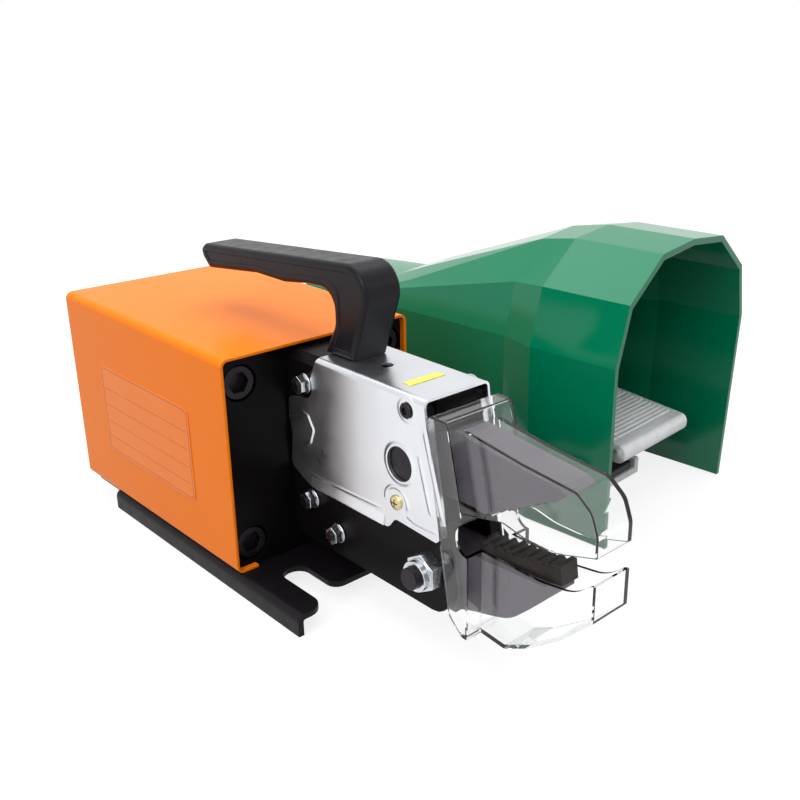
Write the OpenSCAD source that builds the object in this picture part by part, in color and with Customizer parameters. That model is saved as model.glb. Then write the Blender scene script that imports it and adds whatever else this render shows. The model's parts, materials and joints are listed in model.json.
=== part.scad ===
// Pneumatic terminal crimping machine with its foot valve.
// x runs across the machine, y to its rear and z up. The jaws point to -y.
// The origin lies on the floor, under the middle of the whole set's bounding box.

/* [Cover and base] */
// Width of the sheet cover
body_w = 110; // [108:1:116]
// Height of the sheet cover
body_h = 110; // [108:1:116]
// Length of the sheet cover
body_l = 160; // [150:1:180]
// Thickness of the cover's sheet
sheet_t = 1.5; // [1:0.1:2]
// Height of the base plate's top over the floor
base_h = 11; // [9:0.5:16]
// Thickness of the base plate
base_t = 3; // [2:0.5:4]
// Width of the open slots in the base plate
slot_w = 13.3; // [9:0.1:14]

/* [Air cylinder] */
// Thickness of each cylinder head
head_t = 22; // [21:0.5:24]
// Thickness of the piston
piston_t = 20; // [18:0.5:22]
// Diameter of the piston rod
rod_d = 22; // [20:0.5:22.5]
// Travel of the piston
stroke = 36; // [34:0.5:37]
// Diameter of the tie bolts
tie_d = 10; // [8:0.5:10]

/* [Crimping head] */
// Thickness of each side plate
plate_t = 6; // [5:0.5:7]
// Thickness of the head cover's sheet
cover_t = 1.2; // [0.8:0.1:1.4]
// Angle through which the upper jaw closes
jaw_turn = 21; // [19:0.5:22]
// Diameter of the jaw's pivot pin
pivot_d = 18; // [15:0.5:19]
// Diameter of the cam roller
roller_d = 16; // [14:0.5:17]
// Width of the dies
die_w = 10; // [8:0.5:11]
// Number of nests in the lower die
nests = 8; // [5:1:9]
// Wall of the clear guard
guard_t = 1.5; // [1:0.1:1.8]
// Width of the handle
handle_w = 21; // [18:0.5:26]

/* [Foot valve] */
// Turn of the foot valve against the machine, seen from above
pedal_turn = 4.1; // [0:0.1:6]
// Length of the hood
hood_l = 262; // [250:1:280]
// Wall of the hood
hood_t = 3; // [2:0.1:3.5]
// Width of the treadle
treadle_w = 66; // [62:1:76]
// Angle through which the treadle is pressed
treadle_turn = 12; // [8:0.5:13]
// Depth of the treadle's grooves
groove_depth = 1; // [0.6:0.1:1.4]

/* [Hidden] */

// Fits and overruns
fit_gap = 0.3;
run_fit = 0.05;
seat_fit = 0.02;
over = 1;
$fn = 48;
arc_steps = 5;
curl_rings = 8;
wire_sides = 6;

// Cover and base plate
bend_r = 4;
cover_flange = 12;
cover_lip = 3;
fold_inset = 8;
base_rear_inset = 2;
base_front = 129.5;
tongue_front = 119;
slot_x = 33.05;
slot_end = 98;
prong_r = 8;
tongue_r = 6;
label_l = 92;
label_h = 50;
label_z = 27;
label_t = 0.5;
label_r = 4;

// Cylinder
barrel_t = 2.5;
barrel_inset = 0.8;
barrel_groove = 4;
head_r = 3;
tie_inset_x = 11.2;
tie_inset_z = 12.5;
tie_head_d = 16;
tie_head_h = 10;
tie_recess_d = 18;
tie_socket_d = 9.5;
tie_socket_h = 5;
tie_end = 4;
rear_inset = 2;
bush_t = 3;
bush_l = 13;
rod_seal_l = 4;
rod_seal_t = 4.5;
ring_w = 2.4;
seal_w = 6;
seal_depth = 4;
rod_stud_d = 16;
rod_nut_af = 24;
rod_nut_h = 9;
nut_recess_d = 30;
rod_reach = 7;
rod_slot = 12;
port_r = 5.7;
port_l = 12;
port_drop = 20;
port_feed_r = 3.5;
breather_r = 1.5;
spring_r = 24;
spring_wire = 5;
spring_curls = 7;
base_screw_d = 6;
base_screw_l = 14;
base_screw_head_d = 11;
base_screw_in = 13.8;
base_screw_head_h = 3.6;
base_screw_inset = 10;

// Crimping head, in a frame at the middle of the front head's face
gap_half = 11.5;
plate_reach = 115;
plate_drop = 44;
plate_rise = 52.7;
plate_chamfer = 4;
// Along and up, then the corner's radius, over the plate's reach and height
plate_shares = [
  [0, 0, 0], [1, 0, 0.11], [0.935, 0.369, 0], [0.924, 0.39, 0], [0.845, 1, 0.06], [0, 1, 0]
];
lug_top_reach = 43;
lug_top_low = 34;
lug_low_reach = 22;
lug_low_top = -16;
lug_low_drop = 41;
frame_bolt_d = 5;
frame_bolt_af = 8;
frame_bolt_head = 3.5;
frame_washer_d = 10;
frame_washer_t = 1;
frame_nut_h = 4;
frame_bolt_end = 1;
// Places of the frame bolts over the plate's reach and its drop
frame_bolt_shares = [[0.124, 0.884], [0.139, -0.468], [0.309, -0.725]];
jaw_bolt_d = 10;
jaw_bolt_y = 100.8;
jaw_bolt_z = -23.6;
lock_nut_af = 16;
lock_nut_h = 6.5;
lock_nut_collar_h = 3.5;
lock_nut_collar_d = 14;
jaw_bolt_head = 6.4;
jaw_bolt_end = 3;
spacer_rear = 53;
spacer_front = 99;
spacer_low = 43;

// Jaws, in a frame on the pivot pin
pivot_y = 83.4;
pivot_z = 21;
hub_r = 15;
jaw_half = 11.2;
nose_half = 8.2;
jaw_reach = 85;
jaw_depth = 30;
// Along and up from the slope of the dies' faces, then the corner's radius, of the open upper jaw
upper_shares = [
  [0.05, 0.2731, 0], [0.255, 0.2507, 0.2], [0.948, -1.0185, 0.06], [0.995, -1.1508, 0.03],
  [0.967, -1.1577, 0], [0.492, -1.1577, 0], [0.05, -0.4769, 0]
];
jaw_wall = 4.8;
arm_run = 33;
arm_drop = 12;
// Along and up, then the corner's radius, over the arm's run, of the roller's ears
ear_shares = [
  [0, 0.2, 0], [-0.42, 0.38, 0.2], [-1.15, -0.15, 0.1], [-1.23, -0.36, 0.12],
  [-1.15, -0.6, 0.12], [-0.85, -0.6, 0.1], [-0.42, -0.4, 0], [0, -0.2, 0]
];
// Along and up, over the arm's run, of the spring's seat
seat_shares = [[-0.1, -0.25, 0], [-0.66, -0.12, 0], [-0.82, 0.12, 0], [-0.1, 0.12, 0]];
ear_in = 6.4;
roller_half = 6;
roller_pin_d = 7;
wedge_half = 5.9;
wedge_low = -12.7;
wedge_nose = 7;
wedge_pin_d = 6;
cam_steps = 10;
cradle_steps = 4;
strip_t = 3.8;
strip_half = 9;
strip_front = 91;
die_angle = 7.5;
die_low = 32.3;
die_gap = 0.6;
// Start and lengths of the dies and of the lower die's tang over the jaw's reach
die_start_share = 0.3647;
lower_die_share = 0.5294;
upper_die_share = 0.4588;
tang_share = 0.353;
die_h = 8.7;
upper_die_h = 7.2;
tang_h = 6;
tang_start = 3;
upper_cheek = 1.2;
nest_r = 1.9;
nest_wall = 1.4;
die_screw_d = 4;
upper_screw_d = 3;
// Places of the die screws along each die
die_screw_shares = [0.2, 0.6];
lower_drop = 43.7;
lower_h = 85;
lower_top = 17;
// Along and up from the pivot, then radius, over the jaw's reach and height, of the lower jaw
lower_shares = [
  [0.301, -0.761, 0.02], [0.666, -0.654, 0.3], [0.795, -0.535, 0.08], [0.9, -0.43, 0.02],
  [0.885, -0.37, 0], [0.42, -0.405, 0.02], [0.3, -0.455, 0.03]
];
jaw_spring_y = 20.4;
jaw_spring_r = 4;
jaw_spring_wire = 1.2;
jaw_spring_curls = 5;

// Head cover
cover_half = 19;
cover_len = 108;
cover_low = -13;
cover_top = 54.2;
cover_bend = 3;
cover_turn = 5.5;
// Along and up, then the corner's radius, over the cover's length and height
cover_shares = [
  [0.236, 1, 0], [0.148, 0.69, 0.03], [0.02, 0.63, 0.03], [0.012, 0.476, 0.04],
  [0.032, 0.357, 0.04], [0.01, 0.103, 0.06], [0.139, 0, 0.04], [0.69, 0, 0.06],
  [0.735, 0.089, 0.05], [0.981, 0.068, 0.02], [1, 0.097, 0.02], [0.921, 0.923, 0], [0.917, 1, 0]
];
pivot_window_d = 16;
bolt_relief_d = 14;
cover_screw_d = 5;
cover_screw_head_d = 7;
cover_screw_head_h = 1.5;
cover_screw_l = 9;
// Places of the cover's screws over its length and height
cover_screw_shares = [[0.819, 0.895], [0.746, 0.216]];
top_hole_y = 54.6;
top_hole_x = -1.1;
top_hole_d = 6;
marker_l = 20;
marker_w = 5;
marker_t = 0.3;
marker_x = -1.2;
marker_y = 79.6;

// Handle
handle_l = 137;
handle_h = 45.5;
handle_ahead = 52.5;
// Back and up, over the handle's length and height, then the corner's radius
handle_shares = [
  [0.082, 0, 0], [0.232, 0, 0], [0.172, 0.33, 1], [0.172, 0.69, 1.1], [0.32, 0.66, 1],
  [0.46, 0.598, 1], [0.63, 0.6, 1], [0.95, 0.488, 0.2], [0.99, 0.6, 0.3], [1, 0.7, 0.2],
  [0.972, 0.76, 0.2], [0, 1.01, 1.3], [0, 0.644, 1.2]
];
handle_chamfer = 2.5;
handle_r = 10;
handle_bolt_socket = 5;
handle_bolt_d = 6;
handle_bolt_y = 31;
handle_bolt_in = 15;
handle_bolt_head_d = 10;
handle_bolt_head_h = 6;

// Guard
guard_ahead = 16.1;
guard_h = 99;
guard_low = -50;
guard_half = 10.5;
collar_half = 19.3;
// Along and up, then the corner's radius, over the guard's length and height
guard_shares = [
  [0.783, 0.904, 0.2], [0.938, 0.879, 0.06], [0.981, 0.818, 0.08], [1, 0.727, 0.08],
  [1, 0.354, 0.02], [0.911, 0.197, 0.2], [0.82, 0.075, 0.2], [0.751, 0.01, 0.02]
];
// Along and up, then the corner's radius, over the head cover's length and the guard's height
guard_rear_shares = [[1.1275, 0.025, 0], [0.999, 0.955, 0]];
collar_shares = [
  [0.9336, 1, 0.03], [1.0122, 0.43, 0], [1.0045, 0.42, 0], [1.054, 0.1, 0.06],
  [1.1275, 0.025, 0.03], [1.1565, 0.025, 0], [1.1565, 0.45, 0.02], [1.0455, 1, 0.03]
];
mouth_shares = [
  [0.64, 0.424, 0.069], [0.64, 0.566, 0.069], [0.737, 0.604, 0.1], [0.8, 0.58, 0.3],
  [0.89, 0.578, 0.3], [1.05, 0.668, 0], [1.05, 0.54, 0], [0.99, 0.515, 0.05],
  [0.945, 0.445, 0.2], [0.85, 0.42, 0.3]
];

// Foot valve, in a frame on the floor at the middle of the hood's mouth
pedal_x = 171.4;
pedal_y = -170.6;
hood_w = 132;
hood_h = 157.5;
hood_lean = 0.027;
// Half width and height of a section's points from the floor up to the crown, over the hood's
// half width and height
front_shares = [[0.955, 0], [1, 0.648], [0.99, 0.665], [0.874, 0.847], [0.464, 0.981], [0, 1]];
waist_shares = [[0.86, 0], [0.885, 0.644], [0.87, 0.665], [0.765, 0.829], [0.43, 0.956], [0, 0.975]];
rear_shares = [[0.72, 0], [0.73, 0.616], [0.66, 0.69], [0.576, 0.714], [0.36, 0.752], [0, 0.765]];
low_shares = [[0.69, 0], [0.7, 0.59], [0.66, 0.615], [0.6, 0.635], [0.4, 0.66], [0, 0.67]];
end_shares = [[0.665, 0], [0.67, 0.58], [0.63, 0.6], [0.57, 0.62], [0.38, 0.64], [0, 0.65]];
// Places of the sections along the hood
section_shares = [0, 0.203, 0.292, 0.645, 0.79, 1];
hood_exit_w = 60;
hood_exit_h = 46;
hood_lift = 0.5;
boss_r = 6;
boss_h = 34;
// Places of the hood's screw bosses: along the hood's length and across its half width
boss_shares = [[0.53, 0.6], [0.9, 0.5]];
boss_web_l = 9.7;
boss_web_t = 5;
hood_screw_d = 5;
hood_screw_l = 16;
hood_screw_head_d = 9;
pedal_base_t = 4;
pedal_base_lift = 1;
base_half = 30;
base_wall = 4;
base_start = 38;
base_mid = 118;
base_end = 250;
base_mid_half = 47;
base_end_half = 39;
wall_h = 10;
ear_h = 43;
ear_half = 8;
foot_r = 8;
foot_t = 2.5;
front_foot = [20, 48];
rear_foot = [24, 222];
bumper_l = 27;
bumper_half = 24;
bumper_t = 5;
treadle_v = 100;
treadle_z = 38;
treadle_pin_d = 8;
treadle_nose = 9;
treadle_rear = 116;
treadle_nose_z = 46;
treadle_rise = 0.1;
treadle_t = 6;
nose_h = 10;
nose_run = 8;
nose_r = 4.5;
rib_top_r = 1.2;
groove_pitch = 3.1;
groove_w = 1.3;
groove_margin = 3;
groove_start = 19;
groove_end = 108;
lug_t = 6;
lug_r = 7.5;
stop_v = 62;
stop_t = 4;
stop_half = 8;
stop_gap = 0.5;
arm_half = 6;
arm_tip_r = 4;
spool_z = 24;
treadle_spring_v = 76;
treadle_spring_r = 7;
treadle_spring_wire = 2;
treadle_spring_curls = 6;
valve_start = 126;
valve_l = 90;
valve_half = 17;
valve_low = 8;
valve_h = 34;
spool_d = 12;
spool_neck_d = 7;
plunger_d = 8;
cap_t = 8;
spool_rear_room = 16;
spool_spring_r = 4.4;
spool_spring_wire = 1;
spool_spring_curls = 5;
spool_seal_w = 2;
spool_seal_depth = 1.5;
valve_screw_d = 4;
valve_screw_head_d = 7;
valve_screw_head_h = 4;
valve_screw_inset = 11;
cap_screw_d = 3;
cap_screw_head_d = 5.5;
cap_screw_head_h = 3;
cap_screw_l = 16;
valve_port_r = 5.7;
valve_port_l = 11;
silencer_hex_af = 13;
silencer_hex_h = 4;
silencer_l = 11;
silencer_d = 11;
// Places along the valve body of the two outlets, and of the inlet between the two exhausts
outlet_shares = [0.36, 0.64];
supply_shares = [0.22, 0.5, 0.78];

// Derived sizes of the cover and cylinder
head_half = body_w / 2 - sheet_t - fit_gap;
head_top = body_h - sheet_t - fit_gap;
axis_z = head_top / 2;
barrel_ro = min(head_half, axis_z - sheet_t) - barrel_inset;
bore_r = barrel_ro - barrel_t;
front_y = -(body_l / 2 - cover_lip);
front_in = front_y + head_t;
rear_y = body_l / 2 - rear_inset;
rear_in = rear_y - head_t;
fold_rear = rear_in - fold_inset;
base_rear = rear_y - base_rear_inset;
tie_x = body_w / 2 - tie_inset_x;
tie_z = axis_z - tie_inset_z;
base_screw_x = tie_x - base_screw_in;
foot_half = body_w / 2 - cover_flange - fit_gap;
piston_rear = rear_in - fit_gap;
piston_front = piston_rear - piston_t;
slot_in = slot_x - slot_w / 2;
slot_out = slot_x + slot_w / 2;

// Derived sizes of the crimping head
guard_len = pivot_y + jaw_reach + guard_ahead;
plate_half = gap_half + plate_t;
lower_rear = lug_low_reach + fit_gap;
plate_h = plate_drop + plate_rise;
cover_in = cover_half - cover_t;
tongue_half = sqrt(pow(rod_d / 2, 2) - pow(wedge_half + seat_fit, 2)) - fit_gap;
cover_h = cover_top - cover_low;
strip_top = wedge_low - fit_gap;
roller_r = roller_d / 2;
die_start = die_start_share * jaw_reach;
lower_die_l = lower_die_share * jaw_reach;
upper_die_l = upper_die_share * jaw_reach;
tang_l = tang_share * jaw_reach;
nest_pitch = (lower_die_l - 2 * nest_wall) / nests;
nose_start = jaw_bolt_y - pivot_y + jaw_bolt_d / 2 + jaw_wall;
die_floor = die_low + die_h;
upper_face = die_low - die_gap;
upper_back = upper_face - upper_die_h;

// Derived sizes of the foot valve
hood_half = hood_w / 2;
plunger_front = treadle_v + arm_tip_r + fit_gap;
valve_end = valve_start + valve_l;
spool_front = valve_start + fit_gap + over;
spool_rear = valve_end - spool_rear_room;
base_top = pedal_base_lift + pedal_base_t;

// The middle of the whole set on the floor, and the height of the base plate
low_x = -body_w / 2 - label_t;
high_x = pedal_x + hood_half * cos(pedal_turn) + hood_lean * hood_h * front_shares[1][1] * sin(pedal_turn);
low_y = front_y - guard_len;
high_y = pedal_y + hood_l * cos(pedal_turn) + hood_half * end_shares[1][0] * sin(pedal_turn);
mid_x = (low_x + high_x) / 2;
mid_y = (low_y + high_y) / 2;

module at_body() translate([-mid_x, -mid_y, base_h]) children();
module at_head() at_body() translate([0, front_y, axis_z]) children();
module at_pivot() at_head() translate([0, -pivot_y, pivot_z]) children();
module at_pedal() translate([pedal_x - mid_x, pedal_y - mid_y, 0]) rotate(pedal_turn) children();
// Lays a shape drawn for the closed jaw where the open jaw has it
module opened() rotate([-jaw_turn, 0, 0]) children();
// The dies' own frame: y points back along the closed dies' faces, and z up from the lower die
module along_dies() rotate([-die_angle, 0, 0]) children();

// Outlines: rows of [x, y, corner radius]
function unit2(v) = v / norm(v);
function corner(a, b, c) = b[2] == 0 ? [[b[0], b[1]]] : let (
  p = [b[0], b[1]],
  u = unit2([a[0], a[1]] - p),
  v = unit2([c[0], c[1]] - p),
  half = acos(max(-1, min(1, u * v))) / 2,
  m = p + unit2(u + v) * b[2] / sin(half),
  s = p + u * b[2] / tan(half) - m,
  e = p + v * b[2] / tan(half) - m,
  a0 = atan2(s.y, s.x),
  sweep = (atan2(e.y, e.x) - a0 + 540) % 360 - 180
) [for (k = [0:arc_steps]) m + b[2] * [cos(a0 + sweep * k / arc_steps), sin(a0 + sweep * k / arc_steps)]];
function rounded(rows) = let (n = len(rows))
  [for (i = [0:n - 1]) each corner(rows[(i + n - 1) % n], rows[i], rows[(i + 1) % n])];
// An outline of shares laid forward of its frame, over a length and a height
function laid(rows, l, h, z0 = 0) = [for (s = rows) [-s[0] * l, z0 + s[1] * h, s[2] * h]];
// The signed area of an outline, which tells which way it turns
function turn(rows) = let (n = len(rows))
  [for (i = [0:n - 1]) rows[i][0] * rows[(i + 1) % n][1] - rows[(i + 1) % n][0] * rows[i][1]]
  * [for (i = [0:n - 1]) 1];
// The outline drawn inwards by d
function inset(rows, d) = let (n = len(rows), side = turn(rows) > 0 ? 1 : -1)
  [for (i = [0:n - 1]) let (
    p = [rows[i][0], rows[i][1]],
    a = [rows[(i + n - 1) % n][0], rows[(i + n - 1) % n][1]],
    b = [rows[(i + 1) % n][0], rows[(i + 1) % n][1]],
    u = unit2(p - a),
    v = unit2(b - p),
    nu = side * [-u.y, u.x],
    nv = side * [-v.y, v.x],
    q = p + (nu + nv) * d / (1 + nu * nv)
  ) [q.x, q.y, max(0, rows[i][2] - d)]];

// A slab with a side outline of (y, z) between two values of x
module side_slab(rows, x0, x1)
  translate([x0, 0, 0]) rotate([90, 0, 90]) linear_extrude(height = x1 - x0) polygon(rounded(rows));
// The same slab on both sides of the middle plane
module side_pair(rows, x0, x1) {
  side_slab(rows, x0, x1);
  side_slab(rows, -x1, -x0);
}
// A bar with a cross outline of (x, z) between two values of y
module long_bar(rows, y0, y1)
  translate([0, y1, 0]) rotate([90, 0, 0]) linear_extrude(height = y1 - y0) polygon(rounded(rows));
module box(lo, hi) translate(lo) cube(hi - lo);
module rod_x(r, x0, x1) translate([x0, 0, 0]) rotate([0, 90, 0]) cylinder(r = r, h = x1 - x0);
module rod_y(r, y0, y1) translate([0, y1, 0]) rotate([90, 0, 0]) cylinder(r = r, h = y1 - y0);
module rod_z(r, z0, z1) translate([0, 0, z0]) cylinder(r = r, h = z1 - z0);
module ring_y(ri, ro, y0, y1) difference() {
  rod_y(ro, y0, y1);
  rod_y(ri, y0 - over, y1 + over);
}
module ring_x(ri, ro, x0, x1) difference() {
  rod_x(ro, x0, x1);
  rod_x(ri, x0 - over, x1 + over);
}
// A hexagon across its flats, along x
module hex_x(af, x0, x1) translate([x0, 0, 0]) rotate([0, 90, 0])
  cylinder(d = af / cos(30), h = x1 - x0, $fn = 6);
module hex_y(af, y0, y1) translate([0, y1, 0]) rotate([90, 0, 0])
  cylinder(d = af / cos(30), h = y1 - y0, $fn = 6);
// Copies at the two signs of x
module both() {
  children();
  mirror([1, 0, 0]) children();
}

// A helical spring of round wire along z from z0 to z1, as one closed tube
function spring_ring(r, wire, curls, z0, z1, k) = let (
  n = curls * curl_rings,
  a = 360 * k / curl_rings,
  z = z0 + wire / 2 + (z1 - z0 - wire) * k / n,
  out = [cos(a), sin(a), 0]
) [for (j = [0:wire_sides - 1]) let (b = 360 * j / wire_sides)
    out * r + [0, 0, z] + wire / 2 * (out * cos(b) + [0, 0, sin(b)])];
module coil(r, wire, curls, z0, z1) {
  n = curls * curl_rings;
  points = [for (k = [0:n]) each spring_ring(r, wire, curls, z0, z1, k)];
  sides = [for (k = [0:n - 1], j = [0:wire_sides - 1]) let (
      a = k * wire_sides + j,
      b = k * wire_sides + (j + 1) % wire_sides,
      c = a + wire_sides,
      d = b + wire_sides
    ) each [[a, c, d], [a, d, b]]];
  first = [for (j = [1:wire_sides - 2]) [0, j, j + 1]];
  last = [for (j = [1:wire_sides - 2]) [n * wire_sides, n * wire_sides + j + 1, n * wire_sides + j]];
  gap = min([for (k = [0:n - curl_rings])
    let (p = spring_ring(r, wire, curls, z0, z1, k), q = spring_ring(r, wire, curls, z0, z1, k + curl_rings))
    for (s = p, t = q) norm(s - t)]);
  echo("least gap of the coil to itself", gap);
  polyhedron(points = points, faces = concat(sides, first, last));
}

// Base plate with its folded sides and its two open slots
module base_plate() color([0.09, 0.09, 0.1]) at_body() difference() {
  intersection() {
    long_bar([
      [-body_w / 2, -base_h, 0], [-body_w / 2, 0, bend_r], [body_w / 2, 0, bend_r], [body_w / 2, -base_h, 0],
      [body_w / 2 - base_t, -base_h, 0], [body_w / 2 - base_t, -base_t, bend_r - base_t],
      [-body_w / 2 + base_t, -base_t, bend_r - base_t], [-body_w / 2 + base_t, -base_h, 0]
    ], -base_front, base_rear);
    translate([0, 0, -base_h - over]) linear_extrude(height = base_h + 2 * over) polygon(rounded([
      [-body_w / 2 - over, fold_rear, 0], [-body_w / 2 + bend_r, fold_rear, 0],
      [-body_w / 2 + bend_r, base_rear, 0], [body_w / 2 - bend_r, base_rear, 0],
      [body_w / 2 - bend_r, fold_rear, 0], [body_w / 2 + over, fold_rear, 0],
      [body_w / 2 + over, -base_front, 0], [slot_out, -base_front, prong_r], [slot_out, -slot_end, 0],
      [slot_in, -slot_end, 0], [slot_in, -tongue_front, tongue_r],
      [-slot_in, -tongue_front, tongue_r], [-slot_in, -slot_end, 0], [-slot_out, -slot_end, 0],
      [-slot_out, -base_front, prong_r], [-body_w / 2 - over, -base_front, 0]
    ]));
  }
  both() translate([slot_x, -slot_end, 0]) rod_z(slot_w / 2, -base_h, over);
  base_screw_places() rod_z(base_screw_d / 2 + fit_gap, -base_h, over);
}

module base_screw_places() both() for (y = [front_in - base_screw_inset, rear_in + base_screw_inset])
  translate([base_screw_x, y, 0]) children();

module base_screws() color([0.2, 0.2, 0.21]) at_body() base_screw_places() {
  rod_z(base_screw_d / 2, -base_t - seat_fit, base_screw_l);
  rod_z(base_screw_head_d / 2, -base_t - base_screw_head_h, -base_t);
}

// Orange sheet cover: top, sides and two flanges turned in over the base plate
module body_cover() color([0.95, 0.42, 0.08]) at_body() long_bar([
  [-body_w / 2 + cover_flange, 0, 0], [-body_w / 2, 0, bend_r], [-body_w / 2, body_h, bend_r],
  [body_w / 2, body_h, bend_r], [body_w / 2, 0, bend_r], [body_w / 2 - cover_flange, 0, 0],
  [body_w / 2 - cover_flange, sheet_t, 0], [body_w / 2 - sheet_t, sheet_t, bend_r - sheet_t],
  [body_w / 2 - sheet_t, body_h - sheet_t, bend_r - sheet_t],
  [-body_w / 2 + sheet_t, body_h - sheet_t, bend_r - sheet_t],
  [-body_w / 2 + sheet_t, sheet_t, bend_r - sheet_t], [-body_w / 2 + cover_flange, sheet_t, 0]
], -body_l / 2, body_l / 2);

// Blank plate on the left side
module rating_plate() color([0.96, 0.55, 0.3]) at_body() side_slab([
  [-label_l / 2, label_z, label_r], [label_l / 2, label_z, label_r],
  [label_l / 2, label_z + label_h, label_r], [-label_l / 2, label_z + label_h, label_r]
], -body_w / 2 - label_t, -body_w / 2);

// The plain block of either cylinder head
module head_block(y0, y1) long_bar([
  [-foot_half, 0, 0], [foot_half, 0, 0], [foot_half, sheet_t, 0], [head_half, sheet_t, head_r],
  [head_half, head_top, head_r], [-head_half, head_top, head_r], [-head_half, sheet_t, head_r],
  [-foot_half, sheet_t, 0]
], y0, y1);
module tie_places() both() for (s = [-1, 1]) translate([tie_x, 0, axis_z + s * tie_z]) children();
module on_axis() translate([0, 0, axis_z]) children();
module frame_bolt_places() for (s = frame_bolt_shares)
  translate([0, -s[0] * plate_reach, s[1] * plate_drop]) children();

module front_head() color([0.07, 0.07, 0.08]) {
  at_body() difference() {
    head_block(front_y, front_in);
    on_axis() rod_y(rod_d / 2 + bush_t + seat_fit, front_y - over, front_y + bush_l);
    on_axis() rod_y(rod_d / 2 + run_fit, front_y, front_in + over);
    on_axis() rod_y(rod_d / 2 + rod_seal_t + seat_fit, front_in - rod_seal_l, front_in + over);
    on_axis() barrel_groove_cut(front_in - barrel_groove, front_in + over);
    tie_places() rod_y(tie_d / 2 + fit_gap, front_y - over, front_in + over);
    tie_places() rod_y(tie_recess_d / 2, front_y - over, front_y + tie_head_h + over);
    base_screw_places() rod_z(base_screw_d / 2 + seat_fit, -over, base_screw_l + over);
    translate([0, (front_y + front_in) / 2, axis_z - bore_r + breather_r])
      rod_z(breather_r, -axis_z, breather_r);
    on_axis() translate([0, 0, -bore_r + 2 * breather_r])
      rod_y(breather_r, (front_y + front_in) / 2, front_in + over);
  }
  at_head() difference() {
    union() {
      box([-gap_half, -lug_top_reach, lug_top_low], [gap_half, over, plate_rise]);
      box([-gap_half, -lug_low_reach, -lug_low_drop], [gap_half, over, lug_low_top]);
    }
    frame_bolt_places() rod_x(frame_bolt_d / 2 + fit_gap, -plate_half, plate_half);
    translate([0, -handle_bolt_y, 0])
      rod_z(handle_bolt_d / 2 + seat_fit, lug_top_low - over, plate_rise + over);
  }
}
module barrel_groove_cut(y0, y1) ring_y(bore_r - fit_gap, barrel_ro + fit_gap / 3, y0, y1);

module cylinder_barrel() color([0.72, 0.73, 0.75]) at_body() on_axis()
  ring_y(bore_r, barrel_ro, front_in - barrel_groove + seat_fit, rear_in + barrel_groove - seat_fit);

module barrel_seals() color([0.08, 0.08, 0.08]) at_body() on_axis()
  for (y = [front_in, rear_in - ring_w]) ring_y(barrel_ro + seat_fit, barrel_ro + ring_w / 2, y, y + ring_w);

module rear_head() color([0.07, 0.07, 0.08]) at_body() difference() {
  head_block(rear_in, rear_y);
  on_axis() barrel_groove_cut(rear_in - over, rear_in + barrel_groove);
  tie_places() rod_y(tie_d / 2 + seat_fit, rear_in - over, rear_y + over);
  base_screw_places() rod_z(base_screw_d / 2 + seat_fit, -over, base_screw_l + over);
  on_axis() translate([0, 0, port_drop]) rod_y(port_r, rear_y - port_l, rear_y + over);
  on_axis() translate([0, 0, port_drop]) rod_y(port_feed_r, rear_in - over, rear_y);
  on_axis() rod_y(nut_recess_d / 2, rear_in - over, rear_in + tie_end);
}

module tie_bolts() color([0.13, 0.13, 0.14]) at_body() tie_places() difference() {
  union() {
    rod_y(tie_head_d / 2, front_y + over, front_y + tie_head_h + over);
    rod_y(tie_d / 2, front_y + tie_head_h, rear_y - tie_end);
  }
  hex_y(tie_socket_d, front_y, front_y + over + tie_socket_h);
}

module rod_bush() color([0.72, 0.55, 0.25]) at_body() on_axis()
  ring_y(rod_d / 2 + run_fit, rod_d / 2 + bush_t, front_y, front_y + bush_l - seat_fit);

module rod_seal() color([0.08, 0.08, 0.08]) at_body() on_axis()
  ring_y(rod_d / 2 + run_fit, rod_d / 2 + rod_seal_t, front_in - rod_seal_l + seat_fit, front_in);

module return_spring() color([0.6, 0.6, 0.62]) at_body() on_axis() rotate([-90, 0, 0])
  coil(spring_r, spring_wire, spring_curls, front_in + fit_gap, piston_front - fit_gap);

module piston() color([0.65, 0.66, 0.68]) at_body() on_axis() difference() {
  rod_y(bore_r - 2 * run_fit, piston_front, piston_rear);
  ring_y(bore_r - seal_depth, bore_r + over, piston_front + (piston_t - seal_w) / 2,
    piston_front + (piston_t + seal_w) / 2);
  rod_y(rod_stud_d / 2 + seat_fit, piston_front - over, piston_rear + over);
  rod_y(nut_recess_d / 2, piston_rear - rod_nut_h - fit_gap, piston_rear + over);
}

module piston_seal() color([0.08, 0.08, 0.08]) at_body() on_axis() ring_y(
  bore_r - seal_depth + seat_fit, bore_r - run_fit,
  piston_front + (piston_t - seal_w) / 2 + seat_fit, piston_front + (piston_t + seal_w) / 2 - seat_fit
);

module piston_nut() color([0.75, 0.76, 0.78]) at_body() on_axis() difference() {
  hex_y(rod_nut_af, piston_rear - rod_nut_h - fit_gap, piston_rear - fit_gap);
  rod_y(rod_stud_d / 2 + seat_fit, piston_front, piston_rear + over);
}

module piston_rod() color([0.82, 0.83, 0.85]) at_body() on_axis() difference() {
  union() {
    rod_y(rod_d / 2, front_y - rod_reach, piston_front);
    rod_y(rod_stud_d / 2, piston_front - over, piston_rear - fit_gap);
  }
  box([-wedge_half - seat_fit, front_y - rod_reach - over, -rod_d],
    [wedge_half + seat_fit, front_y - rod_reach + rod_slot, rod_d]);
  translate([0, front_y - rod_reach + rod_slot / 2, 0]) rod_x(wedge_pin_d / 2 + seat_fit, -rod_d, rod_d);
}

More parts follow.
